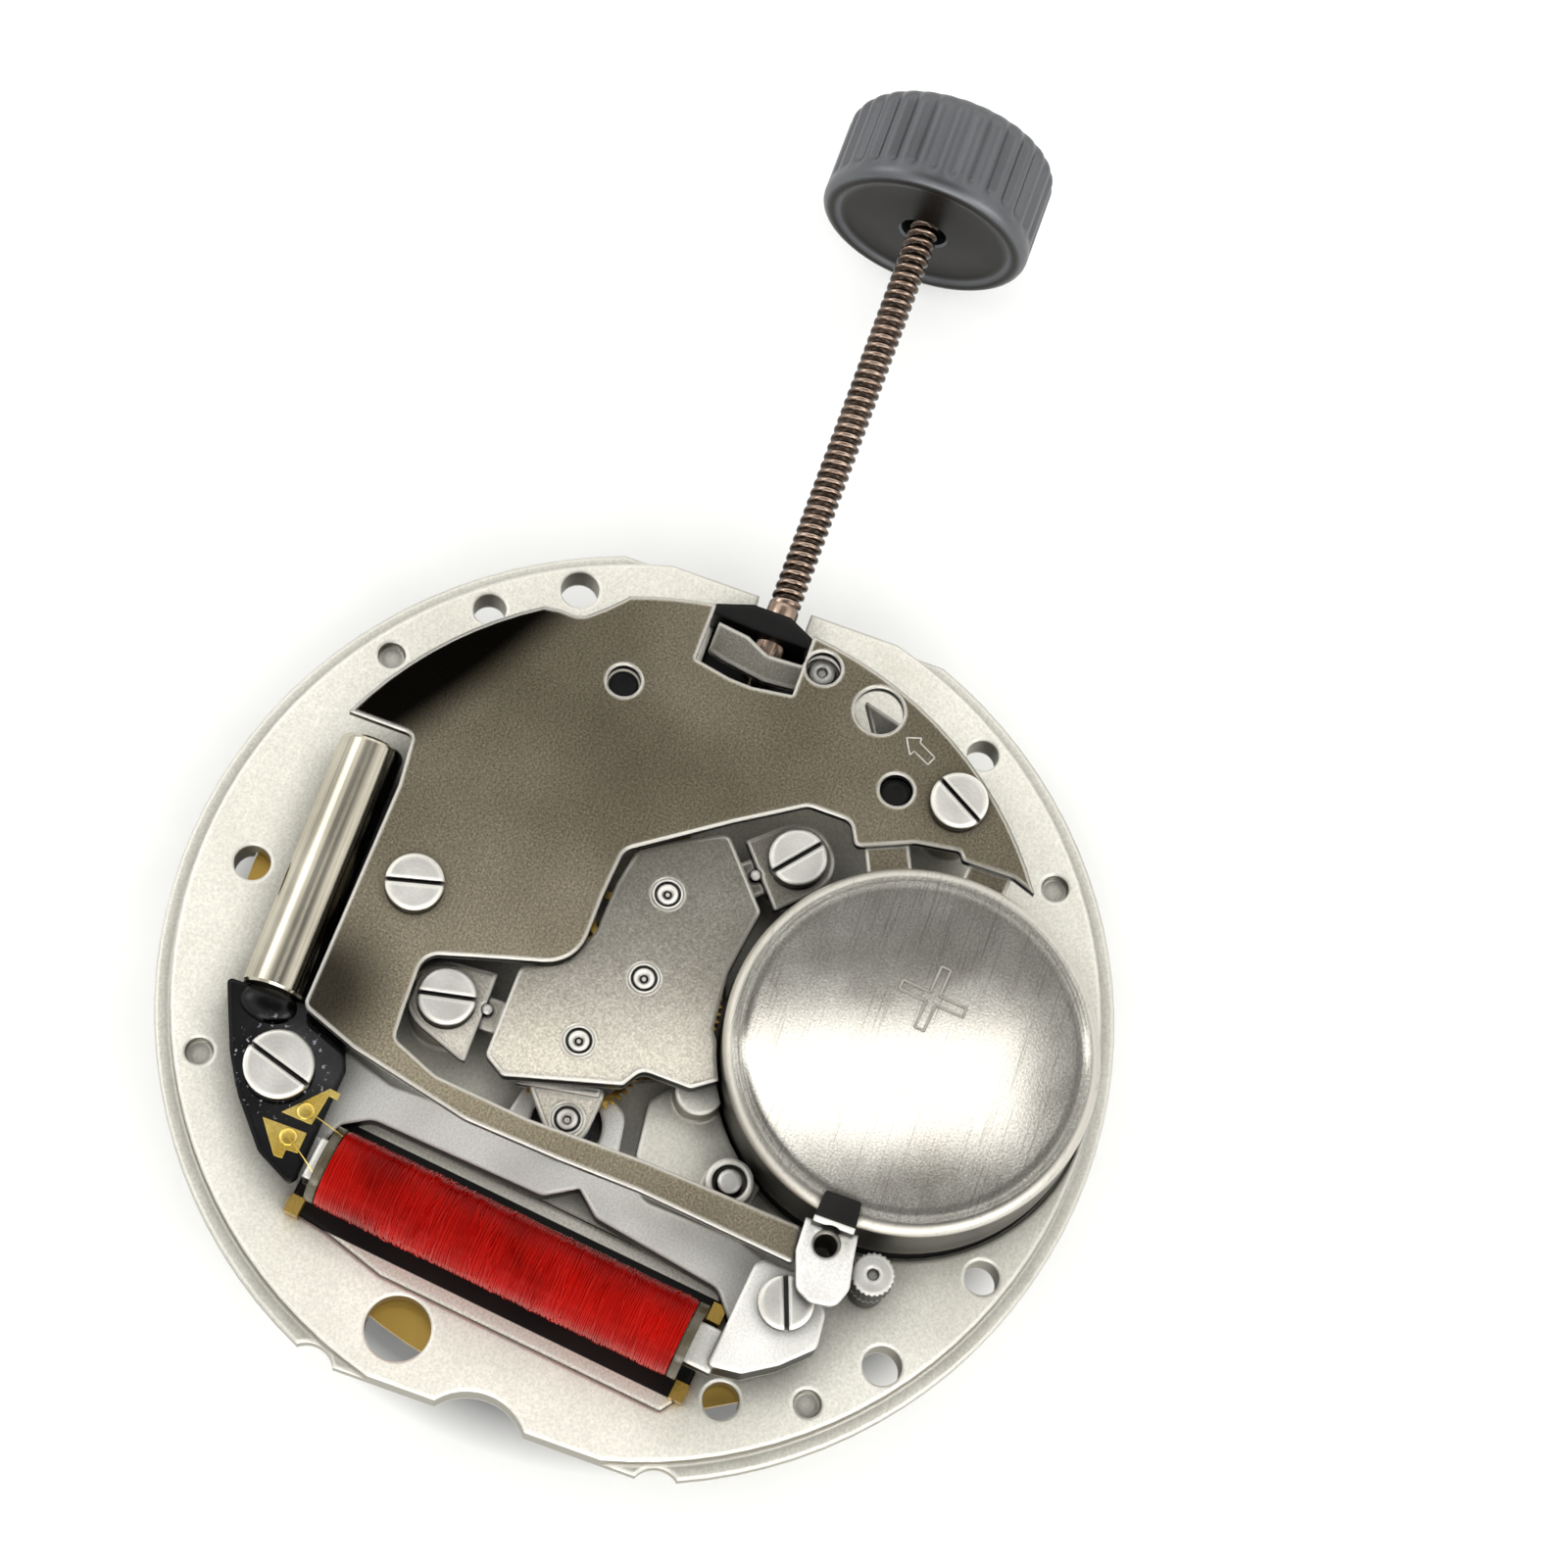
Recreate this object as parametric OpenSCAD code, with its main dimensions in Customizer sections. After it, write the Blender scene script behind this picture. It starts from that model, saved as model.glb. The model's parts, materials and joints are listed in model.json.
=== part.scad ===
// Battery watch movement, 20.4 mm across, seen from its back with stem and crown fitted.
// Origin: the hand arbor where it crosses the dial seat. +Z points to the back, +X to the crown.

/* [Main plate] */
// Diameter of the casing edge
plate_d = 20.4; // [20:0.1:22]
// Width of the low ledge round the edge
ledge_w = 0.35; // [0.2:0.05:0.5]
// Thickness of that ledge
ledge_t = 0.4; // [0.3:0.05:0.5]
// Thickness of the plate inside the ledge
plate_t = 0.8; // [0.78:0.01:0.86]
// Distance from the arbor to the flat opposite the crown
back_flat_x = 9.52; // [9.4:0.02:9.8]
// Distance from the arbor to the flat under the crown
stem_flat_x = 9.5; // [9.4:0.05:9.6]
// Radius of the circle of locating holes in the rim
rim_hole_circle_r = 9.3; // [9.25:0.01:9.35]
// Radius of the two dial foot bores
dial_foot_r = 0.42; // [0.3:0.02:0.44]

/* [Cell] */
// Diameter of the button cell
cell_d = 7.9; // [7.7:0.05:8]
// Height of the button cell
cell_h = 2.1; // [1.6:0.1:2.6]
// Distance of the cell behind the stem axis line
cell_y = -5.75; // [-5.8:0.05:-5.7]

/* [Stem and crown] */
// Height of the stem axis above the dial seat
stem_z = 1.0; // [0.98:0.01:1.04]
// Diameter of the threaded stem
stem_d = 0.7; // [0.6:0.02:0.74]
// Distance from the arbor to the inner face of the crown
crown_x = 19; // [14:0.5:22]
// Diameter of the crown
crown_d = 4.85; // [3.6:0.05:6]
// Thickness of the crown
crown_t = 2.5; // [1.6:0.05:3]
// Number of grip flutes round the crown
crown_flutes = 32; // [20:1:44]
// Travel of the crown from pushed in to time setting
stem_pull = 0.8; // [0.6:0.05:0.8]

/* [Going train] */
// Module of the rotor pinion and the wheel it drives
rotor_module = 0.0562; // [0.055:0.0002:0.0572]
// Module of the intermediate pinion and the seconds wheel
seconds_module = 0.08; // [0.079:0.0002:0.081]
// Module of the seconds pinion and the third wheel
third_module = 0.0563; // [0.0553:0.0002:0.0573]
// Thickness of every train wheel
wheel_t = 0.1; // [0.08:0.01:0.12]

/* [Motion work] */
// Module of the cannon pinion, minute wheel and setting wheels
motion_module = 0.07; // [0.068:0.0005:0.071]
// Radius of the hour hand seat
hour_seat_r = 0.6; // [0.58:0.01:0.64]
// Radius of the minute hand seat
minute_seat_r = 0.35; // [0.34:0.005:0.36]
// Radius of the seconds hand seat
seconds_seat_r = 0.1; // [0.09:0.005:0.11]
// Length of the seat of each hand
hand_seat_l = 0.5; // [0.4:0.05:0.7]
// Step from the hour hand seat out to its shoulder
hour_shoulder = 0.18; // [0.17:0.01:0.22]

/* [Bridge and cover] */
// Height of the top of the train bridge above the dial seat
bridge_top = 2.18; // [2.14:0.01:2.24]
// Thickness of the train bridge
bridge_t = 0.4; // [0.36:0.01:0.42]
// Height of the top of the cover plate above the dial seat
cover_top = 2.4; // [2.38:0.01:2.55]
// Thickness of the cover plate
cover_t = 0.25; // [0.15:0.01:0.28]
// Radius of the rim of the cover plate
cover_r = 8.46; // [8.4:0.02:8.5]

/* [Coil and crystal] */
// Length of the wound part of the coil
coil_len = 8; // [7.8:0.05:8.1]
// Outer diameter of the wound coil
coil_d = 1.8; // [1.6:0.02:1.8]
// Number of turns shown in the outer layer
coil_loops = 14; // [6:1:14]
// Length of the crystal can
can_len = 5.85; // [5:0.05:5.9]
// Diameter of the crystal can
can_d = 1.42; // [1.3:0.02:1.44]

/* [Date work] */
// Outer diameter of the date ring
date_ring_d = 17.5; // [17.3:0.05:17.5]
// Thickness of the date ring
date_ring_t = 0.14; // [0.1:0.01:0.15]

/* [Fasteners] */
// Head radius of the cover and train bridge screws
screw_head_r = 0.62; // [0.5:0.02:0.66]
// Head height of all bridge side screws
screw_head_t = 0.25; // [0.2:0.01:0.28]
// Shank radius of all bridge side screws
screw_shank_r = 0.28; // [0.22:0.01:0.3]

/* [Hidden] */
$fn = 64;

play = 0.02;
run_gap = 0.03;
eps = 0.01;
plate_r = plate_d / 2;
stem_r = stem_d / 2;
cell_r = cell_d / 2;
cell_at = [0.33, cell_y];

// Levels above the dial seat
motion_ceiling = 0.48;
train_floor = 0.66;
calendar_t = 0.1;
stator_z = plate_t;
stator_t = 0.45;
board_z = stator_z + stator_t + 0.25;
board_t = 0.2;
cover_z = cover_top - cover_t;
bridge_z = bridge_top - bridge_t;
lug_top = bridge_top - 0.23;
lug_t = 0.25;
cell_z = train_floor + 0.14;
cell_top = cell_z + cell_h;

// Pads that seat the pieces: screw, pin and post places
cover_screw_at = [[5.92, -4.97], [0.18, 5.16]];
cover_screw_turn = [60, 105];
bridge_screw_at = [[3.66, -2.16], [-1.78, 3.71]];
bridge_screw_turn = [141, 102];
board_screw_at = [-4.29, 6.45];
coil_screw_at = [-5.47, -5.01];
bridge_pin_at = [[3.03, -1.44], [-1.70, 2.84]];
bridge_rest_at = [-1.78, -1.88];
land_pin_at = [-3.40, -3.10];
post_at = [-4.35, -6.50];
clamp_pin_at = [-4.12, -5.39];
pillar_r = 0.75;

// Rim holes as [circle radius, angle, hole radius]
rim_holes = [
    [rim_hole_circle_r, 27.7, dial_foot_r],
    [rim_hole_circle_r, -127.9, dial_foot_r],
    [rim_hole_circle_r, 40.2, 0.36],
    [rim_hole_circle_r, -33.7, 0.35],
    [rim_hole_circle_r, -110.4, 0.37],
    [8.70, 90.6, 0.39],
    [8.70, 164.7, 0.69],
    [8.74, -149.5, 0.39]
];
rim_dimple_angles = [54.9, 117.7, 221.3, 305.5];
rim_dimple_r = 0.3;
rim_dimple_depth = 0.2;

// Tooth counts, from the rotor at half a turn a second down to the hour wheel
rotor_teeth = 8;
intermediate_teeth = 48;
intermediate_pinion_teeth = 8;
seconds_teeth = 40;
seconds_pinion_teeth = 8;
third_teeth = 60;
third_pinion_teeth = 8;
centre_teeth = 64;
cannon_teeth = 12;
minute_teeth = 36;
minute_pinion_teeth = 10;
hour_teeth = 40;
setting_teeth = 26;
date_idler_teeth = 24;
date_pinion_teeth = 18;
date_wheel_teeth = 60;
date_ring_teeth = 31;

// Centre distances follow from teeth and modules, and places from directions
function polar(r, a) = [r * cos(a), r * sin(a)];
function mesh_distance(za, zb, m) = m * (za + zb) / 2;
function heading(a, b) = atan2(b.y - a.y, b.x - a.x);
// Phase of a gear b that meshes with gear a, whose teeth stand at phase pa
function mesh_phase(pa, za, zb, dir) = dir + 180 - (pa - dir) * za / zb + 180 / zb;
// Point at distance ra from a and rb from b, on the right hand side going from a to b
function corner_between(a, b, ra, rb) =
    let (d = norm(b - a), along = (ra * ra - rb * rb + d * d) / (2 * d),
         off = sqrt(max(0, ra * ra - along * along)), u = (b - a) / d)
    a + u * along + [u.y, -u.x] * off;

arbor_at = [0, 0];
date_teeth_r = 5.95;
date_wheel_circle_r = 4.9;
third_d = mesh_distance(seconds_pinion_teeth, third_teeth, third_module);
third_dir = 4.5;
third_at = polar(third_d, third_dir);
centre_module = 2 * third_d / (third_pinion_teeth + centre_teeth);
intermediate_dir = 154.8;
intermediate_at = polar(mesh_distance(intermediate_pinion_teeth, seconds_teeth, seconds_module), intermediate_dir);
rotor_dir = 191.7;
rotor_at = intermediate_at + polar(mesh_distance(rotor_teeth, intermediate_teeth, rotor_module), rotor_dir);

minute_dir = -30;
minute_at = polar(mesh_distance(cannon_teeth, minute_teeth, motion_module), minute_dir);
hour_module = 2 * norm(minute_at) / (minute_pinion_teeth + hour_teeth);
setting_at = [4.95, 0];
idler_at = corner_between(minute_at, setting_at,
    mesh_distance(minute_teeth, setting_teeth, motion_module),
    mesh_distance(setting_teeth, setting_teeth, motion_module));
date_dir = 200;
date_idler_at = polar(mesh_distance(hour_teeth, date_idler_teeth, hour_module), date_dir);
date_wheel_at = polar(date_wheel_circle_r, date_dir);
date_module = 2 * norm(date_wheel_at - date_idler_at) / (date_pinion_teeth + date_wheel_teeth);
date_finger_l = date_teeth_r + 0.15 - date_wheel_circle_r;
date_finger_dir = date_dir + 180;
date_jumper_dir = 9 * 360 / date_ring_teeth;

// Phases that bring every pair into mesh at rest
rotor_phase = heading(rotor_at, intermediate_at);
intermediate_phase = mesh_phase(rotor_phase, rotor_teeth, intermediate_teeth, rotor_phase);
intermediate_pinion_phase = heading(intermediate_at, arbor_at);
seconds_phase = mesh_phase(intermediate_pinion_phase, intermediate_pinion_teeth, seconds_teeth, intermediate_pinion_phase);
seconds_pinion_phase = third_dir;
third_phase = mesh_phase(third_dir, seconds_pinion_teeth, third_teeth, third_dir);
third_pinion_phase = third_dir + 180;
centre_phase = mesh_phase(third_pinion_phase, third_pinion_teeth, centre_teeth, third_pinion_phase);
cannon_phase = minute_dir;
minute_phase = mesh_phase(minute_dir, cannon_teeth, minute_teeth, minute_dir);
minute_pinion_phase = minute_dir + 180;
hour_phase = mesh_phase(minute_pinion_phase, minute_pinion_teeth, hour_teeth, minute_pinion_phase);
idler_phase = mesh_phase(minute_phase, minute_teeth, setting_teeth, heading(minute_at, idler_at));
setting_phase = mesh_phase(idler_phase, setting_teeth, setting_teeth, heading(idler_at, setting_at));
date_idler_phase = mesh_phase(hour_phase, hour_teeth, date_idler_teeth, date_dir);
date_wheel_phase = mesh_phase(date_dir, date_pinion_teeth, date_wheel_teeth, date_dir);

// Wheel levels, each the underside of its wheel or pinion
centre_wheel_z = 0.70;
third_wheel_z = 1.12;
rotor_pinion_z = stator_z + stator_t + 0.07;
intermediate_wheel_z = rotor_pinion_z + 0.04;
seconds_wheel_z = intermediate_wheel_z + 0.2;
rotor_ledge_z = rotor_pinion_z + 0.2;
rotor_ledge_t = 0.22;
hour_wheel_z = calendar_t + run_gap;
minute_wheel_z = hour_wheel_z + 0.17;
motion_wheel_t = 0.12;
arbor_r = 0.1;
pivot_r = 0.06;
bushing_r = 0.32;
stud_r = 0.18;

// Turns a path of [x, y, corner radius] into points with round corners
function corner_arc(a, b, c, r, n = 6) =
    let (u = (a - b) / norm(a - b), v = (c - b) / norm(c - b),
         half = acos(max(-1, min(1, u * v))) / 2,
         reach = min(r / tan(half), 0.49 * min(norm(a - b), norm(c - b))),
         rr = reach * tan(half), mid = (u + v) / norm(u + v),
         o = b + mid * rr / sin(half), s = b + u * reach - o, e = b + v * reach - o,
         turn = atan2(s.x * e.y - s.y * e.x, s * e))
    [for (i = [0 : n]) let (t = turn * i / n) o + [s.x * cos(t) - s.y * sin(t), s.x * sin(t) + s.y * cos(t)]];
function rounded(path) =
    let (n = len(path))
    [for (i = [0 : n - 1]) let (p = path[i], b = [p.x, p.y],
        a = path[(i + n - 1) % n], c = path[(i + 1) % n])
        each (p[2] > 0 ? corner_arc([a.x, a.y], b, [c.x, c.y], p[2]) : [b])];

module slab(z, t) {
    translate([0, 0, z]) linear_extrude(t) children();
}

module disc(at, r, z, t) {
    translate([at.x, at.y, z]) cylinder(r = r, h = t);
}

module ring(at, r, bore, z, t) {
    difference() {
        disc(at, r, z, t);
        disc(at, bore, z - eps, t + 2 * eps);
    }
}

// Toothed outline with round tips, one tooth centred at the phase angle
module gear_outline(teeth, m, phase = 0) {
    p = 360 / teeth;
    pitch_r = teeth * m / 2;
    tip_r = pitch_r + 0.85 * m;
    root_r = pitch_r - 1.1 * m;
    flank = [[root_r, -0.28], [pitch_r, -0.23], [pitch_r + 0.5 * m, -0.16], [tip_r, -0.05],
             [tip_r, 0.05], [pitch_r + 0.5 * m, 0.16], [pitch_r, 0.23], [root_r, 0.28]];
    polygon([for (i = [0 : teeth - 1], k = flank) polar(k[0], phase + (i + k[1]) * p)]);
}

module gear(teeth, m, at, z, t, phase = 0) {
    translate([at.x, at.y, z]) linear_extrude(t) gear_outline(teeth, m, phase);
}

// Wheel with a rim and spokes between hub and rim
module spoked_gear(teeth, m, at, z, t, phase, hub_r, spokes = 4) {
    rim_r = teeth * m / 2 - 2.2 * m - 0.06;
    spoke_w = 0.16;
    translate([at.x, at.y, z]) linear_extrude(t) difference() {
        gear_outline(teeth, m, phase);
        difference() {
            circle(r = rim_r);
            circle(r = hub_r);
            for (i = [0 : spokes - 1]) rotate(phase + i * 360 / spokes)
                translate([0, -spoke_w / 2]) square([rim_r + 1, spoke_w]);
        }
    }
}

module screw(at, z, head_r, head_t, shank_r, depth, turn) {
    slot_w = 0.1;
    translate([at.x, at.y, z]) difference() {
        union() {
            cylinder(r = head_r, h = head_t - 0.05);
            translate([0, 0, head_t - 0.05]) cylinder(r1 = head_r, r2 = head_r - 0.05, h = 0.05);
            translate([0, 0, -depth]) cylinder(r = shank_r, h = depth + eps);
        }
        rotate(turn) translate([-head_r - 1, -slot_w / 2, head_t * 0.3]) cube([2 * head_r + 2, slot_w, head_t]);
    }
}

// Keyless work along the stem
stem_guide_x = [8.38, 8.92];
stem_guide_w = 0.84;
stem_notch_w = 1.2;
stem_guide_top = stem_z + stem_r + 0.33;
guide_well_z = 0.45;
guide_well = [[7.2, -0.84], [stem_guide_x[0] + 0.2, -0.84], [stem_guide_x[0] + 0.2, 1.3], [7.2, 1.3]];
guide_block = [[stem_guide_x[0], -stem_guide_w], [stem_guide_x[1] - 0.3, -stem_guide_w], [stem_guide_x[1], -0.24],
    [stem_guide_x[1], 0.61], [stem_guide_x[1] - 0.27, 1.39], [stem_guide_x[0] + 0.05, 1.39], [stem_guide_x[0], 0.41]];
guide_tongue_t = 0.13;
bay_gap = 0.08;
pilot_block_x = [5.05, 5.7];
pinion_x = [6.05, 6.95];
pinion_r = 0.64;
pilot_r = 0.15;
pilot_from = 4.7;
stem_square = 0.42;
stem_square_x = [5.75, 7.1];
lever_pivot_at = [7.79, -1.30];
lever_z = 1.72;
lever_t = 0.18;
lever_pin_r = 0.27;
lever_tail = [[0.1, -0.4], [-0.45, 0.1], [-0.5, -0.6], [-0.3, -0.88], [-0.05, -0.9]];
spring_post_at = [5.73, -3.64];
yoke_t = 0.18;
pinion_groove = [0.38, 0.62];
pinion_groove_r = 0.46;
yoke_tip_x = [pinion_x[0] + pinion_groove[0] + 0.05, pinion_x[0] + pinion_groove[1] - 0.05];
lever_spring_path = [[5.25, -3.3, 0.3], [5.3, -4.0, 0.3], [6.4, -4.05, 0.3], [7.15, -3.75, 0.2], [7.38, -3.19, 0.1],
                     [7.6, -2.36, 0.03], [6.92, -2.78, 0.1], [6.6, -3.4, 0.2], [6.25, -3.2, 0.2]];
groove_mid = lever_pivot_at.x - stem_pull / 2;
groove_x = [groove_mid - 0.17, groove_mid + 0.17];
groove_r = 0.2;

// Bearings, pins and seats
rotor_hole_r = 0.75;
jewel_r = 0.3;
centre_bushing_r = 0.62;
centre_pipe_r = 0.22;
centre_bore_r = 0.13;
small_pin_r = 0.2;
bridge_pin_r = 0.11;
land_pin_r = 0.25;
land_boss_r = 0.5;
land_boss_top = 1.86;
rest_pillar_r = 0.5;
lever_pillar_r = 0.42;
pin_cup = 0.12;
dial_t = 0.4;
seat_z = [dial_t, dial_t + hand_seat_l, dial_t + 2 * hand_seat_l + play, dial_t + 3 * hand_seat_l + 2 * play];
pin_land_t = 0.45;
pin_land = [[-3.95, -3.6, 0.3], [-3.0, -3.75, 0.3], [-1.65, -2.3, 0.3],
            [-1.75, -1.3, 0.2], [-2.2, -0.95, 0.2], [-3.45, -1.1, 0.2], [-3.85, -1.9, 0.2]];
battery_pocket_r = cell_r + 0.08;
post_top = cover_top;
clamp_z = cover_top + play;
clamp_t = 0.15;
clamp_post_r = 0.4;
board_screw_head_r = 0.74;

// Coil axis, core and winding
coil_mid = [-6.35, 0.70];
coil_turn = 83.8;
coil_r = coil_d / 2;
coil_z = plate_t + coil_r;
core_w = 0.9;
core_t = 0.4;
core_tail = 0.8;
core_strap_w = [-0.4, 0.15];
bracket_strap_at = -5.2;
foot_strap_at = 4.8;
bracket_top = coil_z + 0.35;
wire_r = 0.04;
flange_t = 0.2;
core_step = flange_t + 2 * play;
core_web_t = 0.2;
wire_sides = 6;
drum_r = coil_r - 2 * wire_r - play / 2;
loop_rings = 24;
wind_len = coil_len - 0.4;
wind_r = coil_r - wire_r;
coil_path = [
    [-coil_len / 2, wind_r, 0],
    for (i = [0 : coil_loops * loop_rings]) let (a = i * 360 / loop_rings)
        [-wind_len / 2 + wind_len * i / (coil_loops * loop_rings), wind_r * cos(a), wind_r * sin(a)],
    [coil_len / 2, wind_r, 0]
];
least_gap = min([for (i = [0 : len(coil_path) - 1], j = [i + 18 : min(i + 30, len(coil_path) - 1)])
    norm(coil_path[i] - coil_path[j])]) - 2 * wire_r;
echo(str("Least gap of the coil wire to itself: ", least_gap, " mm"));

// Crystal can along the X axis
can_r = can_d / 2;
can_x = -2.82;
can_y = 7.15;
can_z = plate_t + can_r + 0.03;

// Date work and calendar plate
date_ring_z = calendar_t + run_gap;
date_groove_r = date_ring_d / 2 + 0.07;
motion_recess_r = 5.7;
calendar_r = 6.3;
calendar_screw_r = 0.2;
calendar_post_r = 0.42;
calendar_screw_at = [polar(5.05, 60), polar(5.05, 300), polar(5.05, 150)];
date_jumper_stud = [5.0, 2.0];

module plate_outline(r) {
    difference() {
        circle(r = r, $fn = 180);
        translate([-plate_r - 1, -plate_r]) square([plate_r + 1 - back_flat_x, 2 * plate_r]);
        translate([stem_flat_x, -plate_r]) square([plate_r, 2 * plate_r]);
        translate([stem_guide_x[1], -stem_notch_w / 2]) square([2, stem_notch_w]);
        translate([-back_flat_x - 0.78, 0.1]) circle(r = 1.25);
        for (s = [-1, 1]) translate([-back_flat_x - 0.22, s * 3.8]) circle(r = 0.55);
    }
}

module main_plate() {
    color([0.88, 0.87, 0.80]) {
        difference() {
            plate_solid();
            plate_cuts();
        }
        dial_side_studs();
    }
}

module plate_solid() {
    slab(0, ledge_t) plate_outline(plate_r);
    slab(0, plate_t) plate_outline(plate_r - ledge_w);
    for (p = cover_screw_at) disc(p, pillar_r, plate_t - eps, cover_z - plate_t + eps);
    for (p = bridge_screw_at) disc(p, pillar_r, plate_t - eps, lug_top - lug_t - plate_t + eps);
    slab(plate_t - eps, stem_z + 0.4 - plate_t + eps)
        translate([pilot_block_x[0], -0.45]) square([pilot_block_x[1] - pilot_block_x[0], 0.9]);
    slab(plate_t - eps, pin_land_t) polygon(rounded(pin_land));
    disc(clamp_pin_at, clamp_post_r, plate_t - eps, clamp_z - plate_t + eps);
    disc(land_pin_at, land_boss_r, plate_t - eps, land_boss_top - plate_t + eps);
    disc(bridge_rest_at, rest_pillar_r, plate_t - eps, bridge_z - plate_t + eps);
    for (p = [lever_pivot_at, spring_post_at]) disc(p, lever_pillar_r, plate_t - eps, lever_z - play - plate_t + eps);
}

module plate_cuts() {
    for (h = rim_holes) disc(polar(h[0], h[1]), h[2], -eps, plate_t + 2 * eps);
    for (a = rim_dimple_angles) disc(polar(rim_hole_circle_r, a), rim_dimple_r, plate_t - rim_dimple_depth, 1);
    for (p = concat(cover_screw_at, bridge_screw_at)) disc(p, screw_shank_r + play, train_floor, 3);
    for (p = [board_screw_at, coil_screw_at]) disc(p, screw_shank_r + play, train_floor, 1);
    disc(post_at, small_pin_r + play, train_floor, 1);
    disc(land_pin_at, land_pin_r + play, train_floor, 3);
    disc(land_pin_at, land_pin_r + pin_cup, land_boss_top - 0.3, 1);
    for (p = [lever_pivot_at, spring_post_at]) disc(p, lever_pin_r + play, train_floor, 3);
    for (p = bridge_pin_at) disc(p, bridge_pin_r + play, train_floor, 1);
    disc(cell_at, battery_pocket_r, train_floor, 3);
    disc(arbor_at, centre_teeth * centre_module / 2 + 0.12, train_floor, 1);
    disc(third_at, 0.4, train_floor, 1);
    disc(rotor_at, rotor_hole_r, train_floor, 1);
    disc(arbor_at, centre_bushing_r + play, motion_ceiling - eps, 1);
    for (p = [third_at, intermediate_at]) disc(p, pivot_r + run_gap, motion_ceiling + 0.04, 1);
    disc(rotor_at, jewel_r + play, motion_ceiling + 0.04, 1);
    disc(clamp_pin_at, 0.25, plate_t + 0.4, 3);
    tray_cut(tray_z - play, plate_t) offset(delta = play) polygon(tray_path);
    // Stem bore, pilot bore and the bay of the sliding pinion
    translate([pinion_x[1], 0, stem_z]) rotate([0, 90, 0]) cylinder(r = stem_r + run_gap, h = 4);
    translate([pilot_block_x[0] - 0.5, 0, stem_z]) rotate([0, 90, 0]) cylinder(r = pilot_r + run_gap, h = 2);
    translate([pilot_block_x[1], -pinion_r - bay_gap, stem_z - pinion_r - bay_gap])
        cube([pinion_x[1] + bay_gap - pilot_block_x[1], 2 * (pinion_r + bay_gap), 3]);
    slab(guide_well_z, plate_t) polygon(guide_well);
    // Dial side: date ring groove, calendar plate seat and motion work recess
    disc(arbor_at, date_groove_r, -1, 1 + date_ring_z + date_ring_t + run_gap);
    disc(arbor_at, motion_recess_r, -1, 1 + motion_ceiling);
    disc(date_wheel_at, date_wheel_teeth * date_module / 2 + 0.12, -1, 1 + motion_ceiling);
}

// Studs of the dial side wheels and the posts that carry the calendar plate
module dial_side_studs() {
    for (p = [minute_at, setting_at, idler_at, date_idler_at, date_wheel_at])
        disc(p, stud_r, calendar_t + play, motion_ceiling - calendar_t - play + eps);
    rotate(date_jumper_dir) disc(date_jumper_stud, stud_r, calendar_t + play, motion_ceiling - calendar_t - play + eps);
    for (p = calendar_screw_at)
        ring(p, calendar_post_r, calendar_screw_r + play, calendar_t, motion_ceiling - calendar_t + eps);
}

// Bridge over the going train, with a low ledge for the rotor and two screw lugs
module train_bridge() {
    color([0.80, 0.80, 0.78]) difference() {
        union() {
            slab(bridge_z, bridge_t) polygon(rounded(bridge_path));
            for (i = [0, 1]) slab(lug_top - lug_t, lug_t) hull() {
                translate(bridge_screw_at[i]) circle(r = pillar_r + 0.05, $fn = 32);
                polygon(bridge_lug_root[i]);
            }
            for (i = [0, 1]) slab(lug_top - lug_t, bridge_web_t) polygon(bridge_web[i]);
            slab(rotor_ledge_z, rotor_ledge_t) hull() {
                translate(rotor_at) circle(r = 0.5, $fn = 32);
                translate([-2.75, 1.2]) circle(r = 0.3, $fn = 32);
                translate([-2.6, 0.2]) circle(r = 0.25, $fn = 32);
            }
            slab(rotor_ledge_z, bridge_z - rotor_ledge_z + eps) polygon([
                [-2.93, 1.75], [-2.75, 1.75], [-2.45, 0.05], [-2.63, 0.05]]);
        }
        for (p = bridge_screw_at) disc(p, screw_shank_r + play, 0, 3);
        for (p = [arbor_at, third_at, intermediate_at]) disc(p, bushing_r, bridge_z - 1, 3);
        disc(rotor_at, bushing_r, rotor_ledge_z - 1, 3);
        for (p = bridge_pin_at) disc(p, bridge_pin_r + play, 0, 3);
        disc(cell_at, battery_pocket_r, 0, 3);
    }
}
bridge_path = [
    [2.75, 1.05, 0.2], [1.75, 1.24, 0.3], [0.6, 1.28, 0.3], [-0.2, 1.66, 0.4], [-0.66, 2.5, 0.2],
    [-2.69, 2.52, 0.15], [-2.98, 2.05, 0.15], [-2.30, -0.36, 0.1], [-1.86, -0.62, 0.3], [-1.88, -1.70, 0.2],
    [-1.37, -2.40, 0.3], [-1.1, -2.1, 0.1], [-0.55, -1.72, 0.3], [0.72, -1.6, 0.3], [2.23, -1.81, 0.2], [3.62, -0.62, 0.2]
];
bridge_lug_root = [[[2.44, -2.06], [3.68, -1.00], [3.75, -1.08], [2.50, -2.14]],
                   [[-2.90, 3.02], [-0.92, 3.02], [-0.92, 2.90], [-2.90, 2.90]]];
bridge_web = [[[2.82, -1.82], [3.43, -1.31], [2.97, -0.78], [2.36, -1.29]],
              [[-2.10, 3.05], [-1.40, 3.05], [-1.40, 2.20], [-2.10, 2.20]]];
bridge_web_t = 0.14;

module bridge_bushings() {
    color([0.83, 0.80, 0.70]) {
        for (p = [arbor_at, third_at, intermediate_at])
            bushing(p, bushing_r, bridge_z, bridge_t);
        bushing(rotor_at, bushing_r, rotor_ledge_z, rotor_ledge_t);
    }
}

// Flanged bearing with an oil cup round its hole
module bushing(at, r, z, t) {
    translate([at.x, at.y, z]) difference() {
        cylinder(r = r, h = t);
        translate([0, 0, -eps]) cylinder(r = pivot_r + run_gap, h = t + 2 * eps);
        translate([0, 0, t - 0.08]) cylinder(r1 = 0.09, r2 = 0.17, h = 0.09);
    }
}

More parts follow.
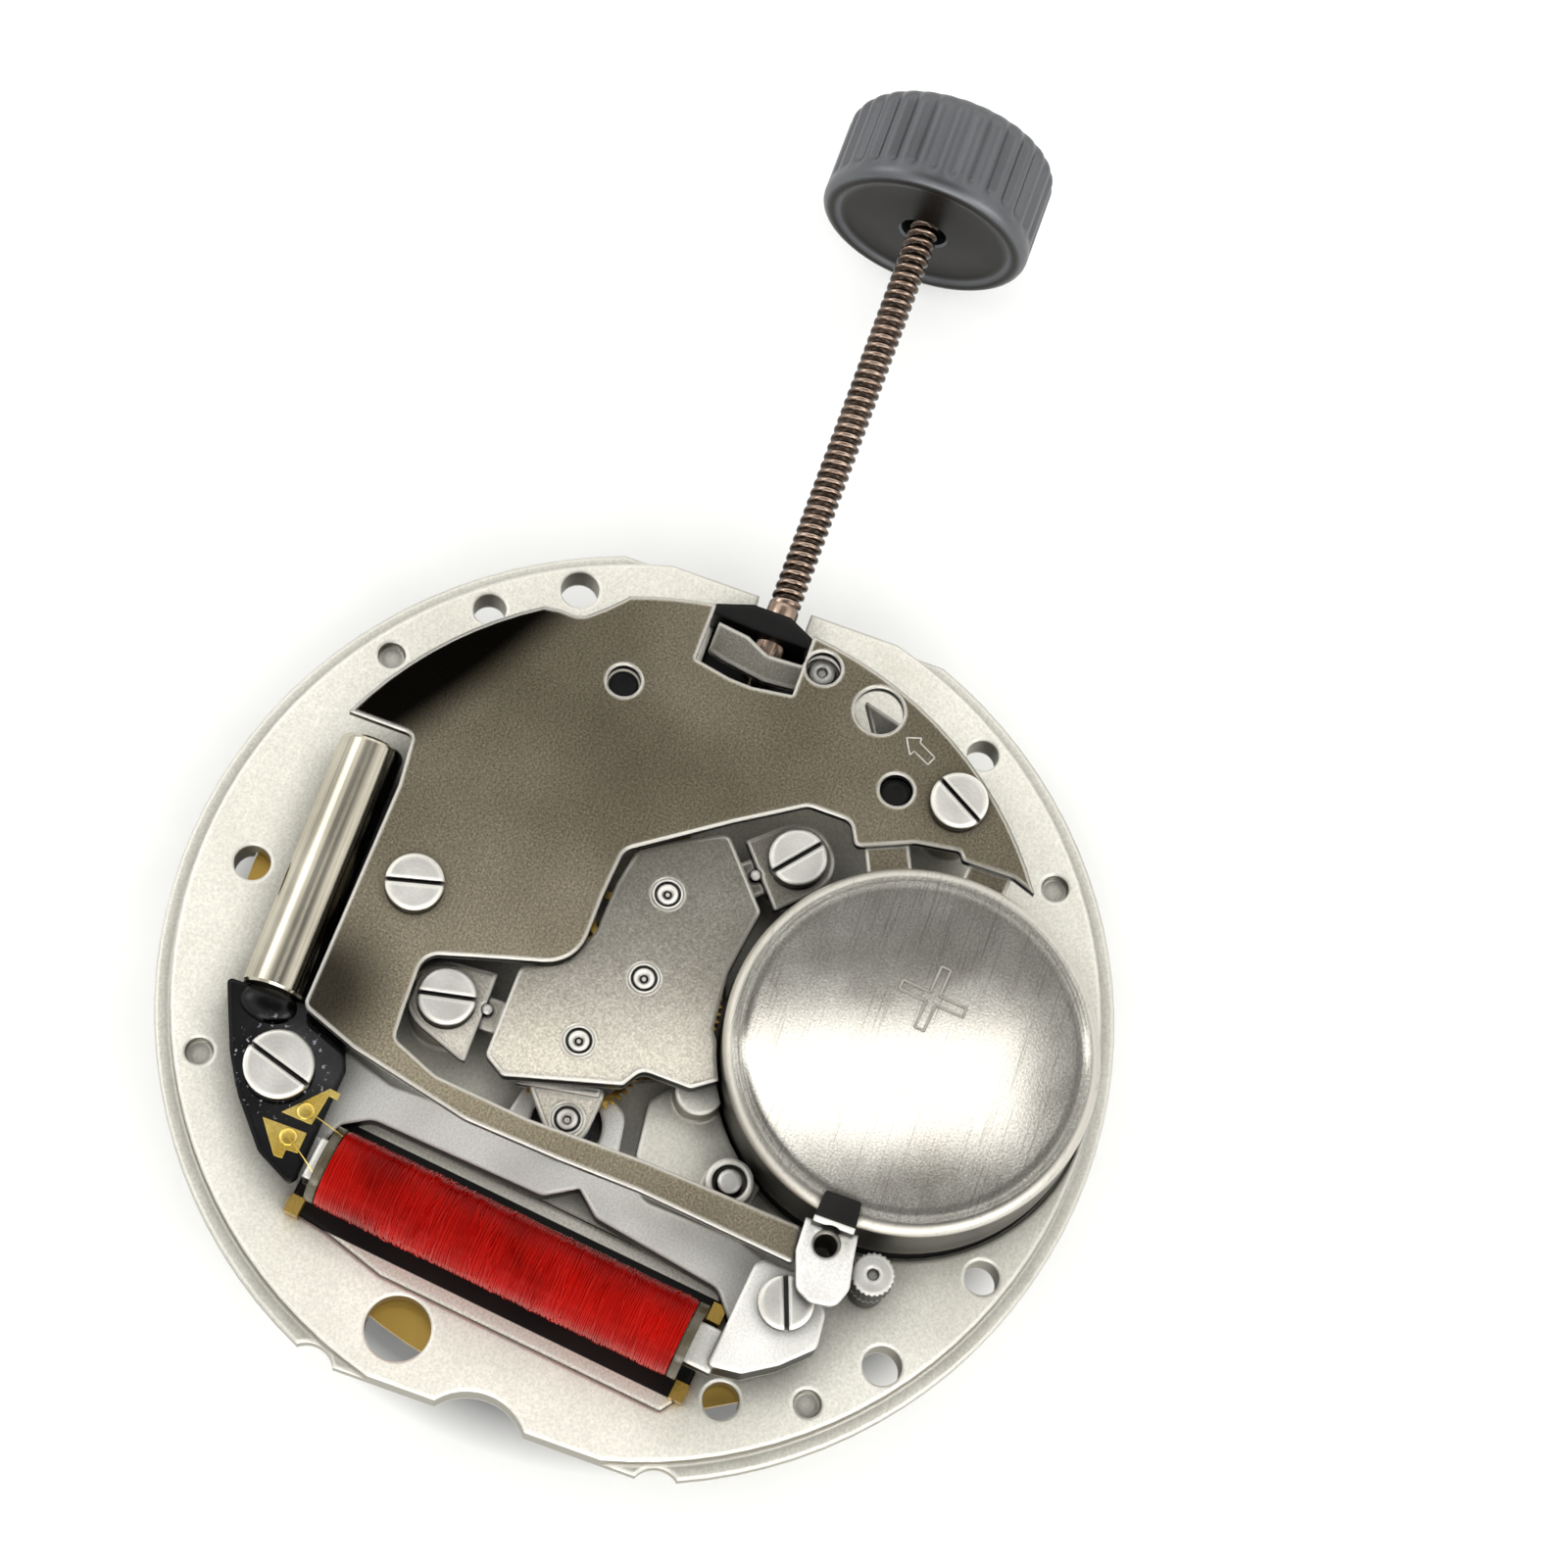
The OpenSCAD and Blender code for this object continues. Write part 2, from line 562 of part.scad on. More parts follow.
module rotor_jewel() {
    color([0.75, 0.10, 0.25]) ring(rotor_at, jewel_r, pivot_r + run_gap, motion_ceiling + 0.05, 0.12);
}

module centre_bushing() {
    color([0.85, 0.70, 0.35]) ring(arbor_at, centre_bushing_r, centre_pipe_r + run_gap, motion_ceiling, train_floor - motion_ceiling);
}

// Pins that carry the setting lever and its spring, dimpled on top
module lever_pins() {
    color([0.60, 0.59, 0.55]) difference() {
        for (p = [lever_pivot_at, spring_post_at]) disc(p, lever_pin_r, train_floor, cover_z - 0.02 - train_floor);
        for (p = [lever_pivot_at, spring_post_at]) disc(p, 0.12, cover_z - 0.1, 1);
    }
}

// Cover plate: a disc sector with the train, the coil and the setting window cut out of it
module cover_plate() {
    color([0.42, 0.41, 0.36]) difference() {
        union() {
            slab(cover_z, cover_t) intersection() {
                circle(r = cover_r, $fn = 120);
                polygon(rounded(cover_path));
            }
            for (a = cell_tab_angles) translate([cell_at.x, cell_at.y, 0]) rotate(a)
                translate([cell_r + cell_tab_gap, -cell_tab_w / 2, 0]) {
                    translate([0, 0, cover_z + play]) cube([cell_tab_root_r - cell_r - cell_tab_gap, cell_tab_w, cell_tab_t]);
                    translate([0, 0, cell_tab_z]) cube([cell_tab_t, cell_tab_w, cover_z + cell_tab_t - cell_tab_z]);
                }
        }
        slab(cover_z - 1, 3) polygon(setting_window);
        for (p = cover_screw_at) disc(p, screw_shank_r + play, cover_z - 1, 3);
        for (h = cover_holes) disc([h[0], h[1]], h[2], cover_z - 1, 3);
    }
}
cover_path = [
    [7.88, 3.10, 0.4], [7.42, 3.52, 0.4], [7.02, 3.95, 0.5], [7.04, 4.42, 0.4], [6.98, 4.78, 0.3], [7.4, 5.4, 0], [3.31, 9.5, 0],
    [3.28, 6.36, 0.15], [2.1, 6.24, 0.1], [-3.06, 6.38, 0.2], [-3.55, 5.1, 0.3], [-4.17, 2.45, 1.5],
    [-4.30, 0.4, 1.5], [-4.36, -1.4, 1.5], [-4.70, -4.90, 0.1], [-3.92, -4.80, 0.1],
    [-3.72, -1.3, 1.2], [-3.72, 1.2, 1.2], [-3.52, 3.3, 0.5], [-3.07, 4.38, 0.25], [-2.4, 4.42, 0.3],
    [-1.15, 4.45, 0.45], [-0.80, 3.3, 0.4], [-0.25, 1.42, 0.9], [1.4, 1.40, 0.6], [2.45, 1.32, 0.4],
    [3.85, -0.65, 0.4], [4.74, -2.0, 0.35], [4.74, -2.95, 0.25], [4.22, -3.22, 0.15],
    [4.76, -4.40, 0.4], [4.92, -5.35, 0.12], [4.74, -5.46, 0.1], [4.76, -6.59, 0.2],
    [4.46, -7.45, 0.05], [5.6, -8.6, 0], [11, -6, 0], [11, 3.0, 0]
];
setting_window = [[6.97, -0.87], [9.4, -0.87], [9.4, 0.75], [8.42, 1.33], [7.02, 1.34], [6.86, 0.5], [6.84, 0]];
cell_tab_angles = [-4.4, 24.5];
cell_tab_w = 0.95;
cell_tab_t = 0.12;
cell_tab_root_r = 4.76;
cell_tab_gap = 0.06;
cell_tab_z = 1.3;
cover_holes = [[6.0, 2.6, 0.36], [lever_pivot_at.x, lever_pivot_at.y, 0.38], [7.30, -2.73, 0.53], [5.73, -3.64, 0.36]];

module cover_screws() {
    color([0.80, 0.80, 0.78]) for (i = [0, 1])
        screw(cover_screw_at[i], cover_top, screw_head_r, screw_head_t, screw_shank_r, cover_top - plate_t, cover_screw_turn[i]);
}

module bridge_screws() {
    color([0.80, 0.80, 0.78]) for (i = [0, 1])
        screw(bridge_screw_at[i], lug_top, screw_head_r, screw_head_t, screw_shank_r, lug_top - plate_t, bridge_screw_turn[i]);
}

module board_screw() {
    color([0.80, 0.80, 0.78])
        screw(board_screw_at, board_z + board_t, board_screw_head_r, screw_head_t + 0.05, screw_shank_r,
              board_z + board_t - train_floor - play, 73);
}

module coil_screw() {
    color([0.80, 0.80, 0.78])
        screw(coil_screw_at, bracket_top, screw_head_r - 0.04, screw_head_t, screw_shank_r, bracket_top - train_floor - play, 20);
}

module locating_pins() {
    color([0.84, 0.70, 0.38]) {
        for (p = bridge_pin_at) disc(p, bridge_pin_r, train_floor, lug_top - train_floor);
        disc(land_pin_at, land_pin_r, train_floor, land_boss_top + 0.04 - train_floor);
    }
}

// Button cell: can with a rounded shoulder, seal ring and smaller cap below
module battery() {
    shoulder = 0.22;
    cap_h = 0.2;
    cap_r = cell_r - 0.75;
    color([0.82, 0.82, 0.80]) translate([cell_at.x, cell_at.y, cell_z]) rotate_extrude($fn = 96)
        polygon(concat([[0, 0], [cap_r, 0], [cap_r, cap_h], [cell_r - 0.1, cap_h], [cell_r, cap_h + 0.1]],
            [for (a = [0 : 15 : 90]) [cell_r - shoulder + shoulder * cos(a), cell_h - shoulder + shoulder * sin(a)]],
            [[0, cell_h]]));
}

module battery_insulator() {
    color([0.08, 0.08, 0.08]) difference() {
        disc(cell_at, cell_r, train_floor, 0.05);
        disc(cell_at, 0.9, 0, 3);
        slab(0, 3) translate([cell_at.x - 0.4, cell_at.y]) square([0.8, 2.6]);
    }
}

// Spring blade under the cap of the cell
contact_blade = [3.8, 0.7];
contact_disc_r = 0.85;
contact_hole_r = 0.4;

module negative_contact() {
    blade_z = train_floor + 0.05 + play;
    color([0.86, 0.74, 0.42]) {
        slab(blade_z, cell_z - blade_z) difference() {
            union() {
                translate(cell_at) square(contact_blade, center = true);
                translate(cell_at) circle(r = contact_disc_r);
            }
            translate(cell_at) circle(r = contact_hole_r);
        }
    }
}

module battery_clamp() {
    color([0.86, 0.86, 0.84]) difference() {
        union() {
            slab(clamp_z, clamp_t) polygon(rounded(clamp_path));
            slab(clamp_z, cell_top + pad_t - clamp_z) polygon(riser_path);
        }
        disc(clamp_pin_at, 0.3, 0, 5);
    }
}
pad_t = 0.14;
pad_x = [-3.18, -3.74];
pad_y = [-4.96, -5.84];
riser_path = [[pad_x[1], pad_y[0]], [pad_x[1], pad_y[1]], [pad_x[1] - 0.12, pad_y[1]], [pad_x[1] - 0.12, pad_y[0]]];
clamp_path = [[-4.45, -4.84, 0.15], [-3.74, -4.82, 0], [-3.74, -5.95, 0], [-4.25, -6.02, 0.2],
              [-4.86, -6.14, 0.3], [-5.30, -5.98, 0.3], [-5.37, -5.45, 0.2], [-5.20, -5.10, 0.2]];

module clamp_pad() {
    color([0.06, 0.06, 0.06]) slab(cell_top, pad_t) polygon(rounded([
        [pad_x[0], pad_y[0] - 0.05, 0.06], [pad_x[0], pad_y[1] + 0.05, 0.06], [pad_x[1], pad_y[1], 0], [pad_x[1], pad_y[0], 0]]));
}

module contact_post() {
    color([0.78, 0.75, 0.68]) translate([post_at.x, post_at.y, 0]) difference() {
        union() {
            translate([0, 0, train_floor]) cylinder(r = small_pin_r, h = 0.3);
            translate([0, 0, plate_t]) cylinder(r = 0.38, h = post_top - plate_t);
            translate([0, 0, post_top - 0.7]) linear_extrude(0.7) polygon([for (i = [0 : 47])
                polar(i % 2 == 0 ? 0.46 : 0.42, i * 7.5)]);
        }
        translate([0, 0, post_top - 0.12]) cylinder(r = 0.13, h = 1);
    }
}

// Black plastic base under the circuit board, open round the coil core end
module module_base() {
    color([0.10, 0.10, 0.10]) slab(plate_t, board_z - plate_t) difference() {
        polygon(rounded(board_path));
        polygon(base_relief);
        translate(cover_screw_at[1]) circle(r = pillar_r + play);
    }
}

// Black tray in a pocket of the plate, wider than the coil above it
module coil_tray() {
    color([0.08, 0.08, 0.08]) tray_cut(tray_z, plate_t - play - tray_z) polygon(tray_path);
}
module tray_cut(z, t) {
    translate([coil_mid.x, coil_mid.y, 0]) rotate(coil_turn) slab(z, t) children();
}
tray_z = 0.6;
tray_path = [[-4.5, -1.5], [4.2, -1.5], [4.55, -0.6], [4.55, 0.95], [3.6, 1.05], [2.2, 1.37], [-4.2, 1.37], [-4.5, 0.9]];

module circuit_board() {
    color([0.05, 0.05, 0.05]) difference() {
        slab(board_z, board_t) difference() {
            polygon(rounded(board_path));
            translate(cover_screw_at[1]) circle(r = pillar_r + play);
            translate(board_screw_at) circle(r = screw_shank_r + play);
        }
        coil_space();
        core_end_space();
    }
}
board_path = [
    [-2.85, 8.16, 0.1], [-4.31, 7.53, 1], [-5.13, 7.03, 1], [-6.10, 6.21, 0.4], [-6.52, 5.41, 0.15], [-6.35, 5.27, 0.1],
    [-3.9, 5.13, 0.2], [-3.2, 5.41, 0.3], [-2.75, 4.75, 0.2], [-1.0, 4.75, 0.2], [0.2, 2.6, 0.5],
    [3.2, 2.3, 0.3], [4.7, 2.9, 0.3], [4.9, 5.2, 0.4], [3.6, 6.30, 0.2], [-2.84, 6.38, 0.1]
];
base_relief = [[-7, 4.5], [-3.35, 4.5], [-3.35, 7.1], [-4.4, 7.25], [-5.4, 7.25], [-7, 6.6]];

module contact_pads() {
    color([0.86, 0.68, 0.25]) {
        slab(board_z + board_t, 0.03) for (p = [
            [[-5.13, 6.07], [-5.30, 5.61], [-5.16, 5.39], [-4.43, 5.27], [-4.39, 5.39]],
            [[-5.45, 6.41], [-6.12, 5.91], [-5.86, 5.50], [-5.48, 5.43]]
        ]) polygon(p);
    }
}

module chip() {
    color([0.04, 0.04, 0.05]) translate([2.2, 4.0, board_z + board_t]) cube([1.3, 1.3, 0.3]);
}

module crystal_can() {
    color([0.70, 0.69, 0.66]) translate([can_x, can_y, can_z]) rotate([0, 90, 0]) rotate_extrude($fn = 64)
        polygon(concat([[0, 0], [can_r - 0.05, 0], [can_r, 0.05], [can_r, can_len - 0.15]],
            [for (a = [0 : 22.5 : 90]) [can_r - 0.15 + 0.15 * cos(a), can_len - 0.15 + 0.15 * sin(a)]],
            [[0, can_len]]));
}

module crystal_leads() {
    color([0.75, 0.72, 0.65]) for (s = [-1, 1])
        translate([can_x - 0.6, can_y + s * 0.22, board_z + board_t + 0.06]) rotate([0, 90, 0]) cylinder(r = 0.06, h = 0.6 - play, $fn = 16);
}

// Coil, along its own axis: local X runs from the bracket end to the board end
module along_coil() {
    translate([coil_mid.x, coil_mid.y, coil_z]) rotate(coil_turn) children();
}

module coil_core() {
    color([0.75, 0.75, 0.73]) difference() {
        union() {
            along_coil() translate([-coil_len / 2 - core_tail, -core_w / 2, -core_t / 2])
                cube([coil_len + core_tail + core_step + core_web_t, core_w, core_t]);
            along_coil() translate([coil_len / 2 + core_step, -core_w / 2, stator_z + stator_t - coil_z])
                cube([core_web_t, core_w, coil_z - stator_z - stator_t]);
            difference() {
                union() {
                    slab(stator_z + stator_t, bracket_top - stator_z - stator_t) polygon(rounded(bracket_path));
                    slab(stator_z + stator_t, board_z - stator_z - stator_t) polygon(rounded(core_foot_path));
                }
                coil_space();
            }
            core_strap(-coil_len / 2 - core_tail + core_t, bracket_strap_at, coil_z - core_t / 2, core_t);
            core_strap(coil_len / 2 + core_step, foot_strap_at, stator_z + stator_t, board_z - stator_z - stator_t);
        }
        for (p = [board_screw_at, coil_screw_at]) disc(p, screw_shank_r + play, 0, 3);
    }
}

// Ties an end of the core to the bracket or foot that carries it, at heights z to z + t
module core_strap(from, to, z, t) {
    along_coil() translate([min(from, to), core_strap_w[0], z - coil_z])
        cube([abs(to - from), core_strap_w[1] - core_strap_w[0], t]);
}

// Room of the coil with its flanges, and of the core's end beyond it
module coil_space() {
    along_coil() translate([-coil_len / 2 - play - flange_t, 0, 0]) rotate([0, 90, 0])
        cylinder(r = coil_r, h = coil_len + 2 * (play + flange_t));
}

module core_end_space() {
    along_coil() translate([0, -core_w / 2 - play, stator_z - coil_z])
        cube([coil_len / 2 + core_step + core_web_t + play, core_w + 2 * play, coil_z]);
}
core_foot_path = [[-6.3, 4.95, 0], [-5.45, 4.88, 0], [-5.2, 5.45, 0.3], [-4.2, 5.75, 0.3], [-3.6, 6.3, 0.4], [-3.7, 6.95, 0.3],
                  [-4.6, 7.0, 0.4], [-5.5, 6.35, 0.4], [-6.1, 5.6, 0.3]];
bracket_path = [[-4.74, -4.30, 0.1], [-4.75, -5.10, 0.3], [-5.30, -5.85, 0.4], [-6.11, -5.92, 0.2],
                [-6.70, -5.30, 0.1], [-7.12, -4.64, 0.15], [-7.2, -3.92, 0.1], [-6.45, -4.0, 0.15], [-4.9, -4.15, 0.2]];

module coil_bobbin() {
    color([0.62, 0.45, 0.28]) along_coil() for (x = [-coil_len / 2 - play - flange_t, coil_len / 2 + play])
        translate([x, 0, 0]) difference() {
            rotate([0, 90, 0]) cylinder(r = coil_r - 0.06, h = flange_t);
            translate([-1, -core_w / 2 - eps, -core_t / 2 - eps]) cube([2, core_w + 2 * eps, core_t + 2 * eps]);
        }
}

// Inner layers as a plain drum, with the outer layer wound on it as one tube
module coil_winding() {
    color([0.62, 0.03, 0.03]) along_coil() {
        difference() {
            translate([-coil_len / 2, 0, 0]) rotate([0, 90, 0]) cylinder(r = drum_r, h = coil_len);
            translate([-coil_len, -core_w / 2 - eps, -core_t / 2 - eps]) cube([2 * coil_len, core_w + 2 * eps, core_t + 2 * eps]);
        }
        sweep_tube(coil_path, wire_r, wire_sides);
    }
}

terminal = [0.3, 0.4, 0.35];

module coil_terminals() {
    color([0.86, 0.68, 0.25]) along_coil() for (p = [[1, 1], [-1, 1], [-1, -1]])
        translate([p.x * (coil_len / 2 + core_step) - (p.x < 0 ? terminal.x : 0), p.y * coil_r - terminal.y / 2, -coil_r])
            cube(terminal);
}

// Two pole pieces in one plate, with the rotor hole and its slit
module stator() {
    color([0.72, 0.72, 0.70]) difference() {
        slab(stator_z, stator_t) difference() {
            polygon(rounded(stator_path));
            translate(rotor_at) circle(r = rotor_hole_r);
            translate(rotor_at) for (a = [40, 220]) rotate(a) translate([rotor_hole_r - 0.06, -0.08]) square([0.12, 0.16]);
            for (p = [board_screw_at, coil_screw_at]) translate(p) circle(r = screw_shank_r + play);
        }
        coil_space();
    }
}
stator_path = [
    [-4.6, 6.95, 0.3], [-5.65, 6.2, 0.3], [-6.1, 5.3, 0.3], [-4.9, 4.9, 0.3], [-4.55, 4.3, 0.5], [-4.86, 0.45, 0.3], [-4.45, -0.22, 0.05],
    [-4.92, -0.75, 0.3], [-5.45, -3.6, 0.4], [-6.6, -4.5, 0.3], [-6.3, -5.7, 0.3], [-5.3, -5.75, 0.4],
    [-4.75, -4.9, 0.2], [-4.35, -3.7, 0.3], [-4.25, -1.6, 0.4], [-3.6, -0.75, 0.3], [-2.6, -0.6, 0.5],
    [-2.15, 0.4, 0.6], [-2.6, 1.55, 0.5], [-3.75, 1.8, 0.4], [-3.75, 4.2, 0.5], [-3.42, 5.2, 0.3], [-3.42, 6.9, 0.3]
];

module rotor_magnet() {
    color([0.30, 0.30, 0.32]) ring(rotor_at, 0.55, 0.16, stator_z + 0.03, stator_t - 0.04);
}

module rotor_pinion() {
    z0 = motion_ceiling + 0.07;
    color([0.85, 0.83, 0.78]) {
        disc(rotor_at, pivot_r, z0, rotor_ledge_z + rotor_ledge_t - 0.1 - z0);
        disc(rotor_at, 0.16, stator_z + 0.01, rotor_pinion_z - stator_z);
        gear(rotor_teeth, rotor_module, rotor_at, rotor_pinion_z, 0.16, rotor_phase);
    }
}

module intermediate_wheel() {
    color([0.86, 0.70, 0.34]) {
        disc(intermediate_at, pivot_r, motion_ceiling + 0.06, bridge_top - 0.1 - motion_ceiling - 0.06);
        disc(intermediate_at, arbor_r, train_floor + play, bridge_z - 2 * play - train_floor);
        spoked_gear(intermediate_teeth, rotor_module, intermediate_at, intermediate_wheel_z, wheel_t, intermediate_phase, 0.4);
        gear(intermediate_pinion_teeth, seconds_module, intermediate_at, intermediate_wheel_z + wheel_t - eps,
             bridge_z - play - intermediate_wheel_z - wheel_t, intermediate_pinion_phase);
    }
}

module seconds_wheel() {
    color([0.86, 0.70, 0.34]) {
        disc(arbor_at, pivot_r, bridge_z - 0.1, bridge_t);
        disc(arbor_at, seconds_seat_r - 0.01, -seat_z[3] + eps, bridge_z - play + seat_z[3]);
        disc(arbor_at, seconds_seat_r, -seat_z[3], hand_seat_l + play);
        spoked_gear(seconds_teeth, seconds_module, arbor_at, seconds_wheel_z, wheel_t, seconds_phase, 0.42);
        gear(seconds_pinion_teeth, third_module, arbor_at, third_wheel_z - 0.06, seconds_wheel_z - third_wheel_z + 0.06 + eps,
             seconds_pinion_phase);
    }
}

module third_wheel() {
    color([0.86, 0.70, 0.34]) {
        disc(third_at, pivot_r, motion_ceiling + 0.06, bridge_top - 0.1 - motion_ceiling - 0.06);
        disc(third_at, arbor_r, train_floor + play, bridge_z - 2 * play - train_floor);
        spoked_gear(third_teeth, third_module, third_at, third_wheel_z, wheel_t, third_phase, 0.4);
        gear(third_pinion_teeth, centre_module, third_at, centre_wheel_z - play, third_wheel_z - centre_wheel_z + play + eps,
             third_pinion_phase);
    }
}

module centre_wheel() {
    color([0.86, 0.70, 0.34]) difference() {
        union() {
            spoked_gear(centre_teeth, centre_module, arbor_at, centre_wheel_z, wheel_t, centre_phase, 0.45);
            disc(arbor_at, centre_pipe_r, -seat_z[2] + 0.1, centre_wheel_z + wheel_t + 0.12 + seat_z[2] - 0.1);
        }
        disc(arbor_at, centre_bore_r, -seat_z[3], 5);
    }
}

// Minute pipe with its pinion, pressed on the pipe of the centre wheel
module cannon_pinion() {
    color([0.78, 0.76, 0.70]) difference() {
        union() {
            gear(cannon_teeth, motion_module, arbor_at, minute_wheel_z - play, motion_wheel_t + 2 * play, cannon_phase);
            disc(arbor_at, minute_seat_r - 0.02, -seat_z[2] + eps, minute_wheel_z + seat_z[2]);
            disc(arbor_at, minute_seat_r, -seat_z[2], hand_seat_l);
        }
        disc(arbor_at, centre_pipe_r, -seat_z[3], 5);
    }
}

module minute_wheel() {
    color([0.86, 0.70, 0.34]) difference() {
        union() {
            gear(minute_teeth, motion_module, minute_at, minute_wheel_z, motion_wheel_t, minute_phase);
            gear(minute_pinion_teeth, hour_module, minute_at, hour_wheel_z, minute_wheel_z - hour_wheel_z + eps, minute_pinion_phase);
        }
        disc(minute_at, stud_r + run_gap, 0, 2);
    }
}

module hour_wheel() {
    color([0.86, 0.70, 0.34]) difference() {
        union() {
            gear(hour_teeth, hour_module, arbor_at, hour_wheel_z, motion_wheel_t, hour_phase);
            disc(arbor_at, hour_seat_r + hour_shoulder, -seat_z[0], hour_wheel_z + seat_z[0] + eps);
            disc(arbor_at, hour_seat_r, -seat_z[1], seat_z[1]);
        }
        disc(arbor_at, minute_seat_r + run_gap, -seat_z[3], 5);
    }
}

module dial_gear(teeth, m, at, z, t, phase) {
    difference() {
        gear(teeth, m, at, z, t, phase);
        disc(at, stud_r + run_gap, 0, 2);
    }
}

module setting_wheel() {
    color([0.76, 0.74, 0.68]) dial_gear(setting_teeth, motion_module, setting_at, minute_wheel_z, motion_wheel_t, setting_phase);
}

module setting_idler() {
    color([0.76, 0.74, 0.68]) dial_gear(setting_teeth, motion_module, idler_at, minute_wheel_z, motion_wheel_t, idler_phase);
}

// Pinion on the square of the stem, toothed on its inner face, grooved for the yoke
module sliding_pinion() {
    len_x = pinion_x[1] - pinion_x[0];
    color([0.62, 0.61, 0.58]) translate([pinion_x[0], 0, stem_z]) rotate([0, 90, 0]) difference() {
        rotate_extrude($fn = 48) polygon([
            [0, 0.12], [pinion_r, 0.12], [pinion_r, pinion_groove[0]], [pinion_groove_r, pinion_groove[0]],
            [pinion_groove_r, pinion_groove[1]], [pinion_r, pinion_groove[1]], [pinion_r, len_x], [0, len_x]]);
        translate([-stem_square / 2 - play, -stem_square / 2 - play, -1])
            cube([stem_square + 2 * play, stem_square + 2 * play, 3]);
        for (i = [0 : 11]) rotate(i * 30) translate([0.47, -0.05, 0]) cube([1, 0.1, 0.24]);
    }
}

module stem() {
    color([0.38, 0.34, 0.30]) translate([0, 0, stem_z]) {
        along_x(pilot_from, pilot_r, stem_square_x[0] - pilot_from);
        translate([stem_square_x[0] - eps, -stem_square / 2, -stem_square / 2])
            cube([stem_square_x[1] - stem_square_x[0] + 2 * eps, stem_square, stem_square]);
        along_x(stem_square_x[1], stem_r, groove_x[0] - stem_square_x[1]);
        along_x(groove_x[0] - eps, groove_r, groove_x[1] - groove_x[0] + 2 * eps);
        along_x(groove_x[1], stem_r, crown_x + crown_t * 0.6 - groove_x[1]);
    }
}

module along_x(x, r, l) {
    translate([x, 0, 0]) rotate([0, 90, 0]) cylinder(r = r, h = l);
}

// Grip crown with a dished inner face and rounded flutes
module crown() {
    r = crown_d / 2;
    e = 0.22;
    flute_r = PI * crown_d / crown_flutes / 2 * 0.62;
    color([0.42, 0.44, 0.45]) translate([crown_x, 0, stem_z]) rotate([0, 90, 0]) difference() {
        rotate_extrude($fn = 96) polygon(concat(
            [[stem_r, 0.25], [0.55, 0.25], [0.75, 0.16], [r - 0.5, 0.02]],
            [for (a = [-90 : 22.5 : 0]) [r - e + e * cos(a), e + e * sin(a)]],
            [for (a = [0 : 22.5 : 90]) [r - e + e * cos(a), crown_t - e + e * sin(a)]],
            [[0, crown_t], [0, crown_t * 0.6], [stem_r, crown_t * 0.6]]));
        for (i = [0 : crown_flutes - 1]) rotate(i * 360 / crown_flutes)
            translate([r + flute_r * 0.62, 0, e]) cylinder(r = flute_r, h = crown_t - 2 * e, $fn = 16);
    }
}

// Dark moulded block that carries the stem in the edge of the plate
module stem_guide() {
    color([0.07, 0.07, 0.07]) difference() {
        union() {
            slab(plate_t, stem_guide_top - plate_t) polygon(guide_block);
            slab(guide_well_z + play, guide_tongue_t) offset(delta = -play) polygon(guide_well);
            slab(guide_well_z + play, plate_t - guide_well_z) offset(delta = -play) intersection() {
                polygon(guide_well);
                polygon(guide_block);
            }
        }
        translate([0, 0, stem_z]) along_x(stem_guide_x[0] - 1, stem_r + run_gap, 4);
    }
}

module setting_lever() {
    color([0.74, 0.74, 0.72]) {
        difference() {
            slab(lever_z, lever_t) union() {
                translate(lever_pivot_at) circle(r = 0.48);
                polygon([lever_pivot_at + [-0.45, 0.1], lever_pivot_at + [0.1, 0.3], [groove_mid + 0.45, -0.07], [groove_mid + 0.71, 0.46],
                         [groove_mid + 0.8, 1.17], [groove_mid + 0.11, 1.18], [groove_mid + 0.01, 0.85], [groove_mid - 0.15, -0.15]]);
                polygon([for (k = lever_tail) lever_pivot_at + k]);
            }
            disc(lever_pivot_at, lever_pin_r + run_gap, 0, 5);
        }
        disc([groove_mid, 0], 0.12, stem_z + groove_r + play, lever_z - stem_z - groove_r - play + eps);
    }
}

// Blade spring that clicks against the setting lever
module lever_spring() {
    color([0.76, 0.76, 0.74]) difference() {
        slab(lever_z, lever_t) polygon(rounded(lever_spring_path));
        disc(spring_post_at, lever_pin_r + play, 0, 5);
    }
}

// Fork blade whose tip rides in the groove of the sliding pinion
module yoke() {
    color([0.74, 0.74, 0.72]) slab(plate_t, yoke_t) polygon(rounded([
        [5.0, 1.3, 0.15], [5.9, 1.0, 0.2], [yoke_tip_x[0], 0.8, 0.1], [yoke_tip_x[0], 0.5, 0.03],
        [yoke_tip_x[1], 0.5, 0.03], [yoke_tip_x[1], 1.2, 0.2], [5.9, 1.8, 0.3], [5.1, 1.9, 0.2]]));
}

// Date ring with 31 pointed teeth inside, face towards the dial
module date_ring() {
    color([0.86, 0.68, 0.28]) slab(date_ring_z, date_ring_t) difference() {
        circle(r = date_ring_d / 2, $fn = 120);
        polygon([for (i = [0 : date_ring_teeth - 1], k = [[0, -0.42], [0.42, -0.3], [0.42, 0.3], [0, 0.42]])
            polar(date_teeth_r + k[0], (i + k[1]) * 360 / date_ring_teeth)]);
    }
}

module date_idler() {
    color([0.86, 0.70, 0.34]) difference() {
        union() {
            gear(date_idler_teeth, hour_module, date_idler_at, hour_wheel_z, motion_wheel_t, date_idler_phase);
            gear(date_pinion_teeth, date_module, date_idler_at, hour_wheel_z + motion_wheel_t - eps,
                 minute_wheel_z - hour_wheel_z + eps, date_dir);
        }
        disc(date_idler_at, stud_r + run_gap, 0, 2);
    }
}

